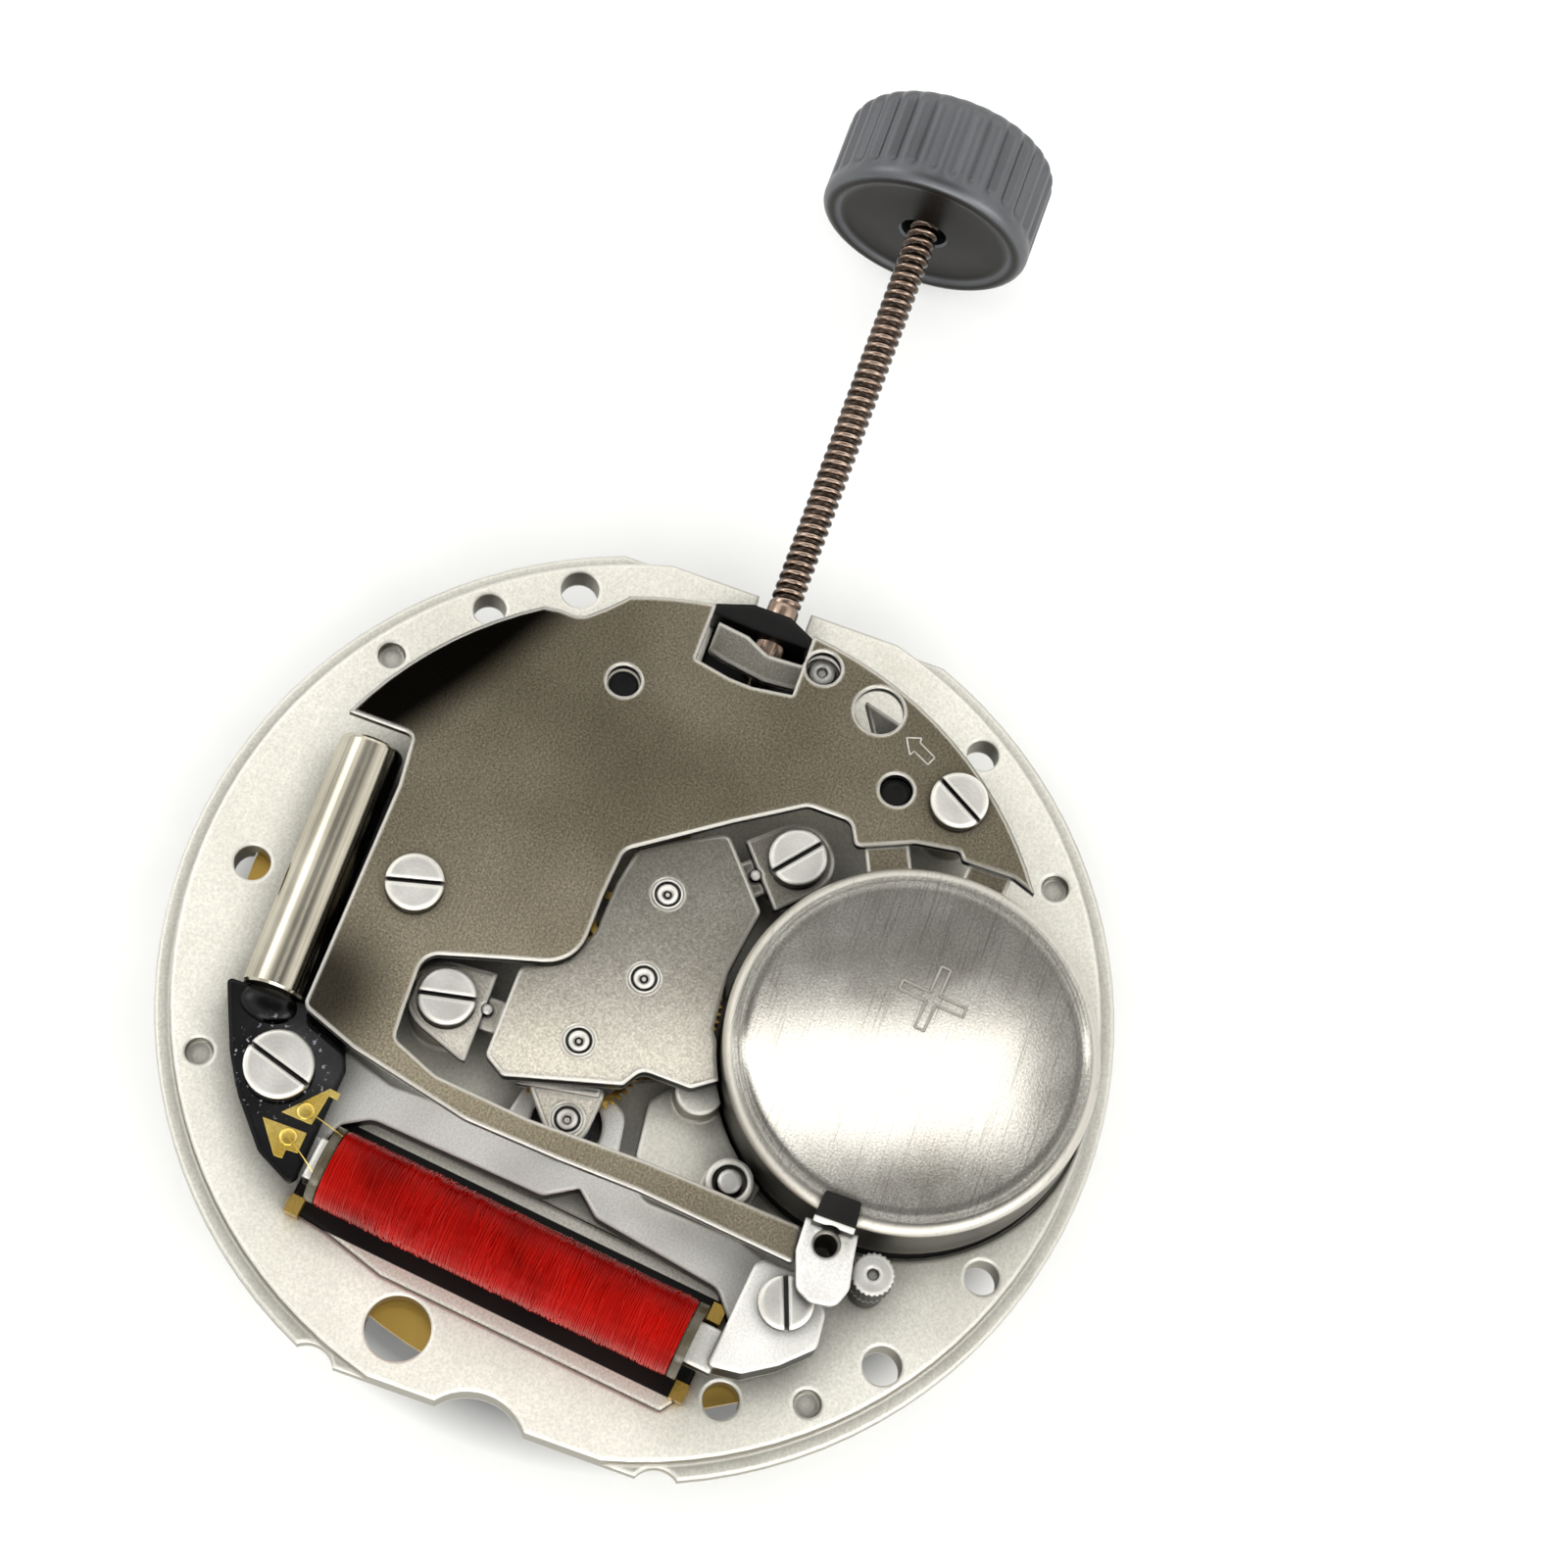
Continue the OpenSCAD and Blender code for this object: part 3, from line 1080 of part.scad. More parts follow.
// Date driving wheel, with the finger that pushes one tooth of the ring each midnight
module date_wheel() {
    finger_t = 0.12;
    color([0.86, 0.70, 0.34]) difference() {
        union() {
            gear(date_wheel_teeth, date_module, date_wheel_at, minute_wheel_z, motion_wheel_t, date_wheel_phase);
            disc(date_wheel_at, 0.4, hour_wheel_z, minute_wheel_z - hour_wheel_z + eps);
            translate([date_wheel_at.x, date_wheel_at.y, hour_wheel_z]) rotate(date_finger_dir)
                linear_extrude(finger_t) polygon([[0, -0.2], [date_finger_l, -0.1], [date_finger_l, 0.1], [0, 0.2]]);
        }
        disc(date_wheel_at, stud_r + run_gap, 0, 2);
    }
}

// Spring arm with a nose that holds the ring between two teeth
module date_jumper() {
    color([0.78, 0.78, 0.76]) rotate(date_jumper_dir) difference() {
        slab(date_ring_z, date_ring_t) polygon(rounded([
            [date_teeth_r + 0.2, 0, 0.02], [5.82, 0.24, 0.05], [5.5, 1.0, 0.3], [5.35, 2.2, 0.3],
            [4.65, 2.25, 0.3], [5.15, 0.95, 0.3], [5.62, -0.1, 0.1], [5.85, -0.2, 0.05]]));
        disc(date_jumper_stud, stud_r + play, 0, 1);
    }
}

// Stamped sheet that closes the dial side and holds the date ring by its teeth
module calendar_plate() {
    color([0.80, 0.79, 0.74]) difference() {
        disc(arbor_at, calendar_r, 0, calendar_t);
        disc(arbor_at, hour_seat_r + hour_shoulder + 0.12, -1, 3);
        for (p = calendar_screw_at) disc(p, calendar_screw_r + play, -1, 3);
    }
}

module calendar_screws() {
    color([0.82, 0.82, 0.80]) for (p = calendar_screw_at) mirror([0, 0, 1])
        screw([p.x, p.y], 0, calendar_screw_r * 2, 0.1, calendar_screw_r, motion_ceiling, 30);
}

// Sweeps a tube with flat ends along points that wind round the X axis
function unit(v) = v / norm(v);
module sweep_tube(path, r, sides) {
    n = len(path);
    tangent = [for (i = [0 : n - 1]) unit(path[min(i + 1, n - 1)] - path[max(i - 1, 0)])];
    points = [for (i = [0 : n - 1]) let (a = unit([0, path[i].y, path[i].z]), b = cross(tangent[i], a))
        for (k = [0 : sides - 1]) path[i] + r * (a * cos(k * 360 / sides) + b * sin(k * 360 / sides))];
    walls = [for (i = [0 : n - 2], k = [0 : sides - 1]) let (p = i * sides + k, q = i * sides + (k + 1) % sides)
        each [[p, q + sides, q], [p, p + sides, q + sides]]];
    start = [for (k = [1 : sides - 2]) [0, k, k + 1]];
    end = [for (k = [1 : sides - 2]) let (o = (n - 1) * sides) [o, o + k + 1, o + k]];
    polyhedron(points, concat(walls, start, end));
}

main_plate();
train_bridge();
cover_plate();
calendar_plate();
calendar_screws();
cover_screws();
bridge_screws();
board_screw();
coil_screw();
locating_pins();
lever_pins();
bridge_bushings();
rotor_jewel();
centre_bushing();
battery();
battery_insulator();
negative_contact();
battery_clamp();
clamp_pad();
contact_post();
module_base();
coil_tray();
circuit_board();
contact_pads();
chip();
crystal_can();
crystal_leads();
coil_core();
coil_bobbin();
coil_winding();
coil_terminals();
stator();
rotor_magnet();
rotor_pinion();
intermediate_wheel();
seconds_wheel();
third_wheel();
centre_wheel();
cannon_pinion();
minute_wheel();
hour_wheel();
setting_wheel();
setting_idler();
sliding_pinion();
stem();
crown();
stem_guide();
setting_lever();
lever_spring();
yoke();
date_ring();
date_idler();
date_wheel();
date_jumper();
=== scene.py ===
# %% [markdown]
# # A battery watch movement, dressed in Blender
# The solids of this movement come ready made from its CAD model, about 20 mm across.
# This lesson gives them their metals, plastics and lacquers, and adds what is finer than
# the solids: a wound coil, a screw thread, grip flutes, stamped signs and printed dates.
# Every cell makes one thing and prints what it made.

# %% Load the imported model
import json
import math
import random

import bmesh
import bpy
from mathutils import Matrix, Vector

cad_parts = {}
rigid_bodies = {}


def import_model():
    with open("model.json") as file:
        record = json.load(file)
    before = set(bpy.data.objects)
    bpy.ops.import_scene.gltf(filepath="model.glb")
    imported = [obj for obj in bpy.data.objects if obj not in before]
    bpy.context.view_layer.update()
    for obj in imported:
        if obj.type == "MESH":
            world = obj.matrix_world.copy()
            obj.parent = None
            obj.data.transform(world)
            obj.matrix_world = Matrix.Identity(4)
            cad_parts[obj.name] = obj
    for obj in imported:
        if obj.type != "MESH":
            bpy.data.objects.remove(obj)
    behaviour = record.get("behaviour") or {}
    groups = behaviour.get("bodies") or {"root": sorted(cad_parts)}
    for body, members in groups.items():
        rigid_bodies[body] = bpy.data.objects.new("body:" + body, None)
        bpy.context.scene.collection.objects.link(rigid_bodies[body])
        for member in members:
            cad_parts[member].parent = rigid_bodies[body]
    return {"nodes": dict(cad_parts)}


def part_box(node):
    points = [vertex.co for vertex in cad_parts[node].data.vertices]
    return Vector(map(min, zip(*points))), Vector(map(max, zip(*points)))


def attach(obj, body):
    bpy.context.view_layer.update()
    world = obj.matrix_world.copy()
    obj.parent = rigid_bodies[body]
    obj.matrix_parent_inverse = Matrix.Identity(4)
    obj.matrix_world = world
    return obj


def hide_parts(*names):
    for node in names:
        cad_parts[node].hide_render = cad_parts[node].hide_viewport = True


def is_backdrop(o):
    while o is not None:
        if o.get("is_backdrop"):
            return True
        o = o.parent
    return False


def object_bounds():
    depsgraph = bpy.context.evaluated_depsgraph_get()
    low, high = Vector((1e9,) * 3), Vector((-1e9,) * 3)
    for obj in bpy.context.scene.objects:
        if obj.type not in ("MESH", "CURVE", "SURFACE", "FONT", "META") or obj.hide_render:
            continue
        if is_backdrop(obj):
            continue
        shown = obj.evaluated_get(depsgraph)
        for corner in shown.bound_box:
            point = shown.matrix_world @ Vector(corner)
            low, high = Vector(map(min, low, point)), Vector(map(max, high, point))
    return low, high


for leftover in list(bpy.data.objects):
    bpy.data.objects.remove(leftover)
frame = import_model()
cad_box = [list(corner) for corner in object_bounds()]
MM = 0.001
print("nodes:", len(frame["nodes"]), "box in mm:", [[round(v / MM, 2) for v in c] for c in cad_box])

# %% [markdown]
# ## Camera
# The photograph was taken from above and a little to one side, with the crown pointing up.
# A camera can be aimed with angles, but here its place and two of its directions are known
# from matching points of the picture to the solids, so they are written down as they are.

# %% Camera at the photograph's place
CAMERA_PLACE = Vector((-25.059, -3.519, 86.669)) * MM
PICTURE_RIGHT = Vector((0.323321, -0.941889, 0.091155))
PICTURE_UP = Vector((0.88464, 0.335052, 0.324271))
LENS = 97.03

lens = bpy.data.cameras.new("photo_camera")
lens.lens = LENS
lens.sensor_width = 36
lens.clip_start = MM
lens.clip_end = 20
camera = bpy.data.objects.new("photo_camera", lens)
axes = Matrix((PICTURE_RIGHT, PICTURE_UP, PICTURE_RIGHT.cross(PICTURE_UP))).transposed()
camera.matrix_world = Matrix.Translation(CAMERA_PLACE) @ axes.to_4x4()
bpy.context.scene.collection.objects.link(camera)
bpy.context.scene.camera = camera
bpy.context.scene.view_settings.view_transform = "Standard"
print("camera height in mm:", round(camera.location.z / MM, 1))

# %% [markdown]
# ## Shader tools
# Each finish below is a Principled shader fed by a few texture nodes. Three small helpers
# keep those short. One turns a colour picked on the screen into the linear numbers that
# shaders expect, one adds any node and wires it, and one starts a finish.

# %% Helpers for colours and nodes
def colour(red, green, blue):
    """A screen colour from 0 to 255 as linear red, green, blue and alpha."""
    parts = [c / 255 for c in (red, green, blue)]
    return [((c + 0.055) / 1.055) ** 2.4 if c > 0.04 else c / 12.92 for c in parts] + [1.0]


def add(tree, kind, inputs=None, **settings):
    """A new shader node. An input is a plain value or the output socket of another node."""
    made = tree.nodes.new("ShaderNode" + kind)
    for key, value in settings.items():
        setattr(made, key, value)
    for key, value in (inputs or {}).items():
        if isinstance(value, bpy.types.NodeSocket):
            tree.links.new(value, made.inputs[key])
        else:
            made.inputs[key].default_value = value
    return made


def new_finish(name, sockets):
    """A material whose Principled shader starts from these socket values."""
    finish = bpy.data.materials.new(name)
    finish.use_nodes = True
    for key, value in sockets.items():
        finish.node_tree.nodes["Principled BSDF"].inputs[key].default_value = value
    return finish


print("a mid grey of 128 is", round(colour(128, 128, 128)[0], 3), "in linear light")

# %% [markdown]
# A finish can know where on a solid it is, because the object coordinates are real lengths.
# It can then be darker near one point, past one line or on the side that faces up. These
# helpers measure such things and turn a measure into a value, often from 0 to 1.

# %% Helpers for places and values
def here(tree, keep=None):
    """The place on the surface, in metres. keep may have a 0 for an axis to leave out."""
    place = add(tree, "TexCoord").outputs["Object"]
    return add(tree, "VectorMath", {0: place, 1: keep}, operation="MULTIPLY").outputs[0] if keep else place


def distance(tree, place, to_mm):
    """How far a place lies from a point given in millimetres."""
    ends = {0: place, 1: [v * MM for v in to_mm]}
    return add(tree, "VectorMath", ends, operation="DISTANCE").outputs["Value"]


def facing(tree, axis, normal=None):
    """How much the surface, or the normal given, points along one axis: X, Y or Z."""
    normal = normal or add(tree, "NewGeometry").outputs["Normal"]
    return add(tree, "SeparateXYZ", {0: normal}).outputs[axis]


def calculate(tree, operation, *values):
    """One step of arithmetic on shader values."""
    return add(tree, "Math", dict(enumerate(values)), operation=operation).outputs[0]


def between(tree, source, low, high, at_low=0.0, at_high=1.0, **settings):
    """A value that runs from at_low to at_high as the source runs from low to high."""
    limits = {"Value": source, "From Min": low, "From Max": high, "To Min": at_low, "To Max": at_high}
    return add(tree, "MapRange", limits, **settings).outputs[0]


print("one millimetre is", MM, "in object coordinates")

# %% [markdown]
# Real metal is never one flat colour. Grain comes from noise whose size is given in
# millimetres. Stretching the noise along one direction turns grain into brush strokes or
# scratches. Most noise lies from 0.3 to 0.7, so tones and roughness run over that range.

# %% Helpers for grain, colour and relief
NOISE_LOW, NOISE_HIGH = 0.3, 0.7
WHITE = colour(255, 255, 255)


def grain(tree, size_mm, turn=0.0, stretch=(1.0, 1.0, 1.0), detail=2.0):
    """Noise of this grain size on the surface, as a value about one half."""
    turned_by = {"Vector": here(tree), "Rotation": (0, 0, math.radians(turn)), "Scale": stretch}
    place = add(tree, "Mapping", turned_by).outputs[0]
    noise = {"Vector": place, "Scale": 1 / (size_mm * MM), "Detail": detail}
    return add(tree, "TexNoise", noise).outputs["Fac"]


def tone(tree, source, dark, light, low=NOISE_LOW, high=NOISE_HIGH):
    """A colour that runs from dark to light as the source runs from low to high."""
    ramp = add(tree, "ValToRGB", {"Fac": source})
    for stop, where, shade in zip(ramp.color_ramp.elements, (low, high), (dark, light)):
        stop.position = where
        stop.color = shade
    return ramp.outputs["Color"]


def mix(tree, share, first, second, blend="MIX"):
    """The first colour where share is 0, and the second, blended in, where it is 1."""
    mixed = add(tree, "Mix", {0: share}, data_type="RGBA", blend_type=blend)
    tree.links.new(first, mixed.inputs[6])
    tree.links.new(second, mixed.inputs[7])
    return mixed.outputs[2]


def shade_with(tree, first, second):
    """Two colours multiplied, such as a broad tone and a fine grain."""
    return mix(tree, 1.0, first, second, "MULTIPLY")


def relief(tree, source, depth_um, strength=0.5, under=None):
    """Fine unevenness of the surface, this many thousandths of a millimetre deep."""
    inputs = {"Height": source, "Distance": depth_um * MM * MM, "Strength": strength}
    if under:
        inputs["Normal"] = under
    return add(tree, "Bump", inputs).outputs[0]


def wire_up(finish, **sources):
    """Links textures to the Principled shader's sockets, named with underscores for spaces."""
    shader = finish.node_tree.nodes["Principled BSDF"]
    for name, source in sources.items():
        finish.node_tree.links.new(source, shader.inputs[name.replace("_", " ")])


def feeding(finish, name):
    """What already feeds a socket of the Principled shader."""
    return finish.node_tree.nodes["Principled BSDF"].inputs[name].links[0].from_socket


print("a grain of 0.05 mm repeats", round(10 / 0.05), "times along a centimetre")

# %% [markdown]
# ## Floor and light
# The movement lies on a pale table. A single square of four corners is enough for that, far
# wider than the picture. It lies a hair below the lowest solid, so that nothing cuts into it.

# %% Floor
FLOOR_HALF = 1.0
FLOOR_GAP = 0.01 * MM

floor_z = cad_box[0][2] - FLOOR_GAP
sheet = bpy.data.meshes.new("floor")
corners = [(x * FLOOR_HALF, y * FLOOR_HALF, floor_z) for x, y in ((-1, -1), (1, -1), (1, 1), (-1, 1))]
sheet.from_pydata(corners, [], [(0, 1, 2, 3)])
floor = bpy.data.objects.new("floor", sheet)
bpy.context.scene.collection.objects.link(floor)
floor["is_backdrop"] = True
print("floor height in mm:", round(floor_z / MM, 2))

# %% [markdown]
# The table's own colour makes the background pale, and a little glow that the camera,
# mirrors and glass all see lifts it to white while the shadow stays. Right below the
# movement its colour is painted greyer as shade, and it doesn't glow, because little light
# gets there.

# %% Pale paper on the floor
GREY_TO, PALE_FROM = 8.9 * MM, 9.9 * MM
GLOW_FROM, GLOW_TO, GLOW_LEVEL = 8 * MM, 14 * MM, 0.1

paper = new_finish("pale_paper", {"Roughness": 0.9, "Specular IOR Level": 0.1})
tree = paper.node_tree
far = distance(tree, here(tree), (0, 0, 0))
sheen = tone(tree, grain(tree, 4.0), colour(238, 238, 237), colour(244, 244, 243))
# Painted shade: the paper's colour turns grey right below the movement.
below = tone(tree, between(tree, far, GREY_TO, PALE_FROM), colour(150, 150, 152), WHITE, 0.0, 1.0)
wire_up(paper, Base_Color=shade_with(tree, sheen, below))
path = add(tree, "LightPath").outputs
seen = calculate(tree, "MAXIMUM", path["Is Camera Ray"], path["Is Glossy Ray"])
seen = calculate(tree, "MAXIMUM", seen, path["Is Transmission Ray"])
strength = calculate(tree, "MULTIPLY", seen, between(tree, far, GLOW_FROM, GLOW_TO, 0.0, GLOW_LEVEL))
glow = add(tree, "Emission", {"Strength": strength}).outputs[0]
both = add(tree, "AddShader", {0: tree.nodes["Principled BSDF"].outputs[0], 1: glow})
tree.links.new(both.outputs[0], tree.nodes["Material Output"].inputs["Surface"])
sheet.materials.append(paper)
print("paper glows from", round(GLOW_FROM / MM), "mm outward")

# %% [markdown]
# Polished metal shows whatever is around it, so the sky above is a soft studio: pale at the
# horizon, brighter half way up, and dim overhead. It has no hard edges, so what the metal
# mirrors stays soft. Each of its stops is a height and a level.

# %% Soft sky
SKY_STOPS = [(0.0, 0.9), (0.3, 1.1), (0.66, 1.7), (0.82, 1.5), (0.92, 0.42), (1.0, 0.3)]
SKY_BLUE = 0.985

sky = bpy.data.worlds.new("studio")
sky.use_nodes = True
bpy.context.scene.world = sky
tree = sky.node_tree
up = add(tree, "SeparateXYZ", {0: add(tree, "TexCoord").outputs["Generated"]}).outputs["Z"]
shade = add(tree, "ValToRGB", {"Fac": up})
while len(shade.color_ramp.elements) < len(SKY_STOPS):
    shade.color_ramp.elements.new(0.5)
for stop, (where, level) in zip(shade.color_ramp.elements, SKY_STOPS):
    stop.position = where
    stop.color = (level, level, level * SKY_BLUE, 1.0)
tree.links.new(shade.outputs["Color"], tree.nodes["Background"].inputs["Color"])
print("sky stops:", len(SKY_STOPS))

# %% [markdown]
# A narrow strip lamp high above is what the cell and the bridge mirror as a bright band. It
# lies level and is turned along that band. Three wide soft boxes light the rest from the
# sides. Each is given as a place, a size and a level, because a level looks the same in a
# mirror whatever the size, and the lamp's energy is worked out from it.

# %% Soft boxes
STRIP_TURN = 19


def soft_box(name, place_mm, size_mm, glow_level):
    """A square lamp aimed at the movement, as bright as a sheet of this level."""
    lamp = bpy.data.lights.new(name, "AREA")
    lamp.shape = "RECTANGLE"
    lamp.size, lamp.size_y = (s * MM for s in size_mm)
    lamp.energy = glow_level * math.pi * lamp.size * lamp.size_y
    box = bpy.data.objects.new(name, lamp)
    box.location = Vector(place_mm) * MM
    box.rotation_euler = (-box.location).to_track_quat("-Z", "Y").to_euler()
    bpy.context.scene.collection.objects.link(box)
    return box


strip = soft_box("strip_box", (79, 12, 300), (9, 72), 2.9)
strip.rotation_euler = (0, 0, math.radians(STRIP_TURN))
soft_box("rim_box", (-280, -40, 100), (260, 90), 4.2)
soft_box("low_box", (-150, -240, 150), (160, 120), 4.5)
soft_box("side_box", (40, 260, 190), (160, 120), 2.0)

# %% [markdown]
# ## Edges and corners
# No stamped or cut edge is perfectly sharp. The bevel node gives the direction that the
# surface would face if its edges were rounded, so a point near an edge can be told from a
# flat face and from an upright wall. A painted highlight makes a bright lip there, and
# painted shade darkens the upright wall below it. Painted shade also darkens corners, and
# the ambient occlusion node knows how deep in a corner a point lies. In a corner an edge is
# no lip, so the same node keeps the lip away and paints the wall shade there instead.

# %% Helpers for edges and corners
EDGE_R = 0.14 * MM
EDGE_ROUGHNESS = 0.42
CORNER_SHADE_REACH = 1.0 * MM
CORNER_SHADE_FROM, CORNER_SHADE_TO = 0.4, 0.9
FLAT_FROM, FLAT_FULL = 0.955, 0.992
WALL_TO, LIP_FROM = 0.1, 0.35


def rounded(tree):
    """The direction the surface faces, as if its sharp edges were rounded."""
    return add(tree, "Bevel", {"Radius": EDGE_R}, samples=4).outputs[0]


def openness(tree, reach, samples):
    """How open the surface lies: 1 in the open, less in a corner."""
    return add(tree, "AmbientOcclusion", {"Distance": reach}, samples=samples).outputs["AO"]


def worn_edges(tree, face, lip, wall, normal):
    """The face colour, but painted highlight in the lip colour on rounded edges and painted shade in the
    wall colour on upright sides and in corners.
    """
    level = calculate(tree, "ABSOLUTE", facing(tree, "Z", normal))
    flat = between(tree, level, FLAT_FROM, FLAT_FULL)
    edge = tone(tree, level, wall, lip, WALL_TO, LIP_FROM)
    in_the_open = tone(tree, openness(tree, EDGE_R, 4), wall, WHITE, 0.55, 0.85)
    return mix(tree, flat, shade_with(tree, edge, in_the_open), face), flat


def edge_sheen(tree, flat, rough):
    """The roughness of the face, but a dull sheen on edges and walls."""
    return add(tree, "Mix", {0: flat, 2: EDGE_ROUGHNESS, 3: rough}, data_type="FLOAT").outputs[0]


def grime(tree, deepest):
    """Painted shade: white in the open, and as dark as deepest in the corners."""
    darkest = (deepest,) * 3 + (1.0,)
    return tone(tree, openness(tree, CORNER_SHADE_REACH, 6), darkest, WHITE, CORNER_SHADE_FROM, CORNER_SHADE_TO)


def cloud(tree, place_mm, inner_mm, outer_mm, lowest):
    """A value that is lowest near a place and rises to 1 away from it."""
    away = distance(tree, here(tree), place_mm)
    return between(tree, away, inner_mm * MM, outer_mm * MM, lowest, interpolation_type="SMOOTHSTEP")


print("edges look rounded within", EDGE_R / MM, "mm")

# %% [markdown]
# ## Metals
# One recipe serves all the bare metals: a patchy tone a few millimetres wide, a fine grain
# over it, a roughness that wanders a little, and a shallow relief. Only the numbers differ
# between blasted nickel, rolled steel and polished brass.

# %% The recipe for bare metal
def bare_metal(name, dark, light, roughness, grain_mm=0.05, grain_um=0.6, depth=0.12, patch_mm=2.5,
               strokes=None, edges=None, deepest=0.15, clouds=()):
    """A metal with patches, grain and relief between two screen colours.

    strokes is (angle, length_mm, width_mm), edges is (lip, wall), the colours of the painted
    highlight on edges and the painted shade on walls, and deepest is how dark the painted shade
    in corners gets. Each of the clouds is what the helper cloud takes after the tree, and darkens
    the colour as a painted reflection.
    """
    finish = new_finish(name, {"Metallic": 1.0})
    tree = finish.node_tree
    patches = grain(tree, patch_mm, detail=4.0)
    if strokes:
        angle, long_mm, wide_mm = strokes
        fine = grain(tree, wide_mm, turn=angle, stretch=(wide_mm / long_mm, 1.0, 1.0), detail=3.0)
    else:
        fine = grain(tree, grain_mm, detail=3.0)
    pits = tone(tree, fine, (1 - 2 * depth,) * 3 + (1.0,), WHITE)
    base = shade_with(tree, tone(tree, patches, colour(*dark), colour(*light)), pits)
    # Each cloud darkens the colour near a place, as a painted dark reflection.
    for spot in clouds:
        base = shade_with(tree, base, cloud(tree, *spot))
    rough = between(tree, patches, NOISE_LOW, NOISE_HIGH, 0.85 * roughness, 1.15 * roughness)
    normal = None
    if edges:
        normal = rounded(tree)
        # Painted shade in corners, then painted highlight on the edges and painted shade on the walls.
        base, flat = worn_edges(tree, shade_with(tree, base, grime(tree, deepest)), *edges, normal)
        rough = edge_sheen(tree, flat, rough)
    wire_up(finish, Base_Color=base, Roughness=rough, Normal=relief(tree, fine, grain_um, under=normal))
    return finish


FINISHES = {}
# The lip colour is a painted highlight on edges, and each wall colour is painted shade on upright sides.
PAINTED_LIP_HIGHLIGHT = colour(244, 241, 233)
LIP_HIGHLIGHT_AND_WALL_SHADE = (PAINTED_LIP_HIGHLIGHT, colour(30, 28, 25))
FINISHES["plate"] = bare_metal(
    "blasted_nickel", (242, 239, 227), (251, 249, 240), 0.6, grain_mm=0.06, grain_um=1.8, depth=0.1,
    edges=(PAINTED_LIP_HIGHLIGHT, colour(150, 146, 134)), deepest=0.35)
print("finish made:", FINISHES["plate"].name)

# %% [markdown]
# The bridge and levers are plain rolled steel and nickel silver, greyer than the plate and
# nearly as smooth as a mirror. The coil core, the pole plates and the clamp of the cell are
# annealed bright.

# %% Rolled metals
# Both take the painted lip highlight and wall shade; the annealed one has lighter painted corner shade.
FINISHES["bridge"] = bare_metal(
    "rolled_nickel", (186, 180, 166), (204, 199, 187), 0.11, grain_mm=0.045, grain_um=0.5, depth=0.2,
    edges=LIP_HIGHLIGHT_AND_WALL_SHADE)
annealed = bare_metal(
    "annealed_core", (240, 238, 232), (251, 250, 246), 0.6, grain_um=0.9, depth=0.1, patch_mm=1.5,
    edges=LIP_HIGHLIGHT_AND_WALL_SHADE, deepest=0.7)
print("finishes made:", FINISHES["bridge"].name, annealed.name)

# %% [markdown]
# The cover is the one dark sheet: a bronze grey plating with a fine glittering grain. Its
# colour sinks into two soft clouds of painted dark reflection along the side of the crystal,
# where the real one mirrors a dark corner of the room. The larger cloud is so wide that its
# border looks straight. A cloud is its place, where it begins and ends, and how dark it gets.

# %% Dark plating of the cover
COVER_TOP = 2.4
# Two painted dark reflections on the cover.
PAINTED_DARK_REFLECTIONS = [((20.5, 31.0, COVER_TOP), 29.5, 30.5, 0.02), ((-2.6, 6.2, COVER_TOP), 0.4, 2.2, 0.15)]

FINISHES["cover"] = bare_metal(
    "bronze_grey_plating", (160, 149, 125), (188, 177, 153), 0.16, grain_um=0.5, depth=0.28, patch_mm=3.5,
    edges=LIP_HIGHLIGHT_AND_WALL_SHADE, deepest=0.2, clouds=PAINTED_DARK_REFLECTIONS)
print("finish made:", FINISHES["cover"].name)

# %% [markdown]
# Screws, posts and the crystal can are polished. The screw heads are finished on a lathe,
# which leaves rings as fine as a record's. The rings come from a wave of the distance to the
# nearest screw. The can is drawn through a die, so its strokes run along it.

# %% Polished steel, with turned rings on the screws
BOARD_SCREW = (-4.29, 6.45)
SCREWS = [(5.92, -4.97), (0.18, 5.16), (3.66, -2.16), (-1.78, 3.71), BOARD_SCREW, (-5.47, -5.01)]
RING_MM = 0.11
RING_UM = 0.5

# Both take the painted lip highlight and wall shade at their edges.
polish = bare_metal(
    "polished_steel", (200, 196, 182), (222, 218, 206), 0.13, grain_mm=0.04, grain_um=0.4, depth=0.08,
    patch_mm=0.8, edges=LIP_HIGHLIGHT_AND_WALL_SHADE)
turned = bare_metal(
    "turned_steel", (226, 223, 216), (244, 242, 236), 0.36, grain_mm=0.04, grain_um=0.3, depth=0.06,
    patch_mm=0.8, edges=LIP_HIGHLIGHT_AND_WALL_SHADE)
tree = turned.node_tree
level_place = here(tree, (1, 1, 0))
nearest = None
for x, y in SCREWS:
    away = distance(tree, level_place, (x, y, 0))
    nearest = calculate(tree, "MINIMUM", nearest, away) if nearest else away
swing = calculate(tree, "MULTIPLY", nearest, 2 * math.pi / (RING_MM * MM))
rings = calculate(tree, "SINE", swing)
wire_up(turned, Normal=relief(tree, rings, RING_UM, 0.6, feeding(turned, "Normal")))
drawn = bare_metal(
    "drawn_can_steel", (160, 153, 137), (196, 190, 174), 0.17, grain_um=0.5, depth=0.14, patch_mm=2.0,
    strokes=(0, 3.0, 0.05))
FINISHES["bright_steel"] = polish
print("finishes made:", polish.name, turned.name, drawn.name)

# %% [markdown]
# Wheels, pads and the date ring are brass, the pads plated with gold. The cell is nickel
# plated steel, tumbled with thousands of others, so hairline scratches cross it in every
# direction. Three layers of stretched noise, each turned another way, make those.

# %% Brass and the cell's steel
SCRATCH_TURNS = (20, 75, 140)
SCRATCH_FROM, SCRATCH_TO = 0.28, 0.34

FINISHES["brass"] = bare_metal("cut_brass", (196, 158, 78), (222, 188, 104), 0.27)
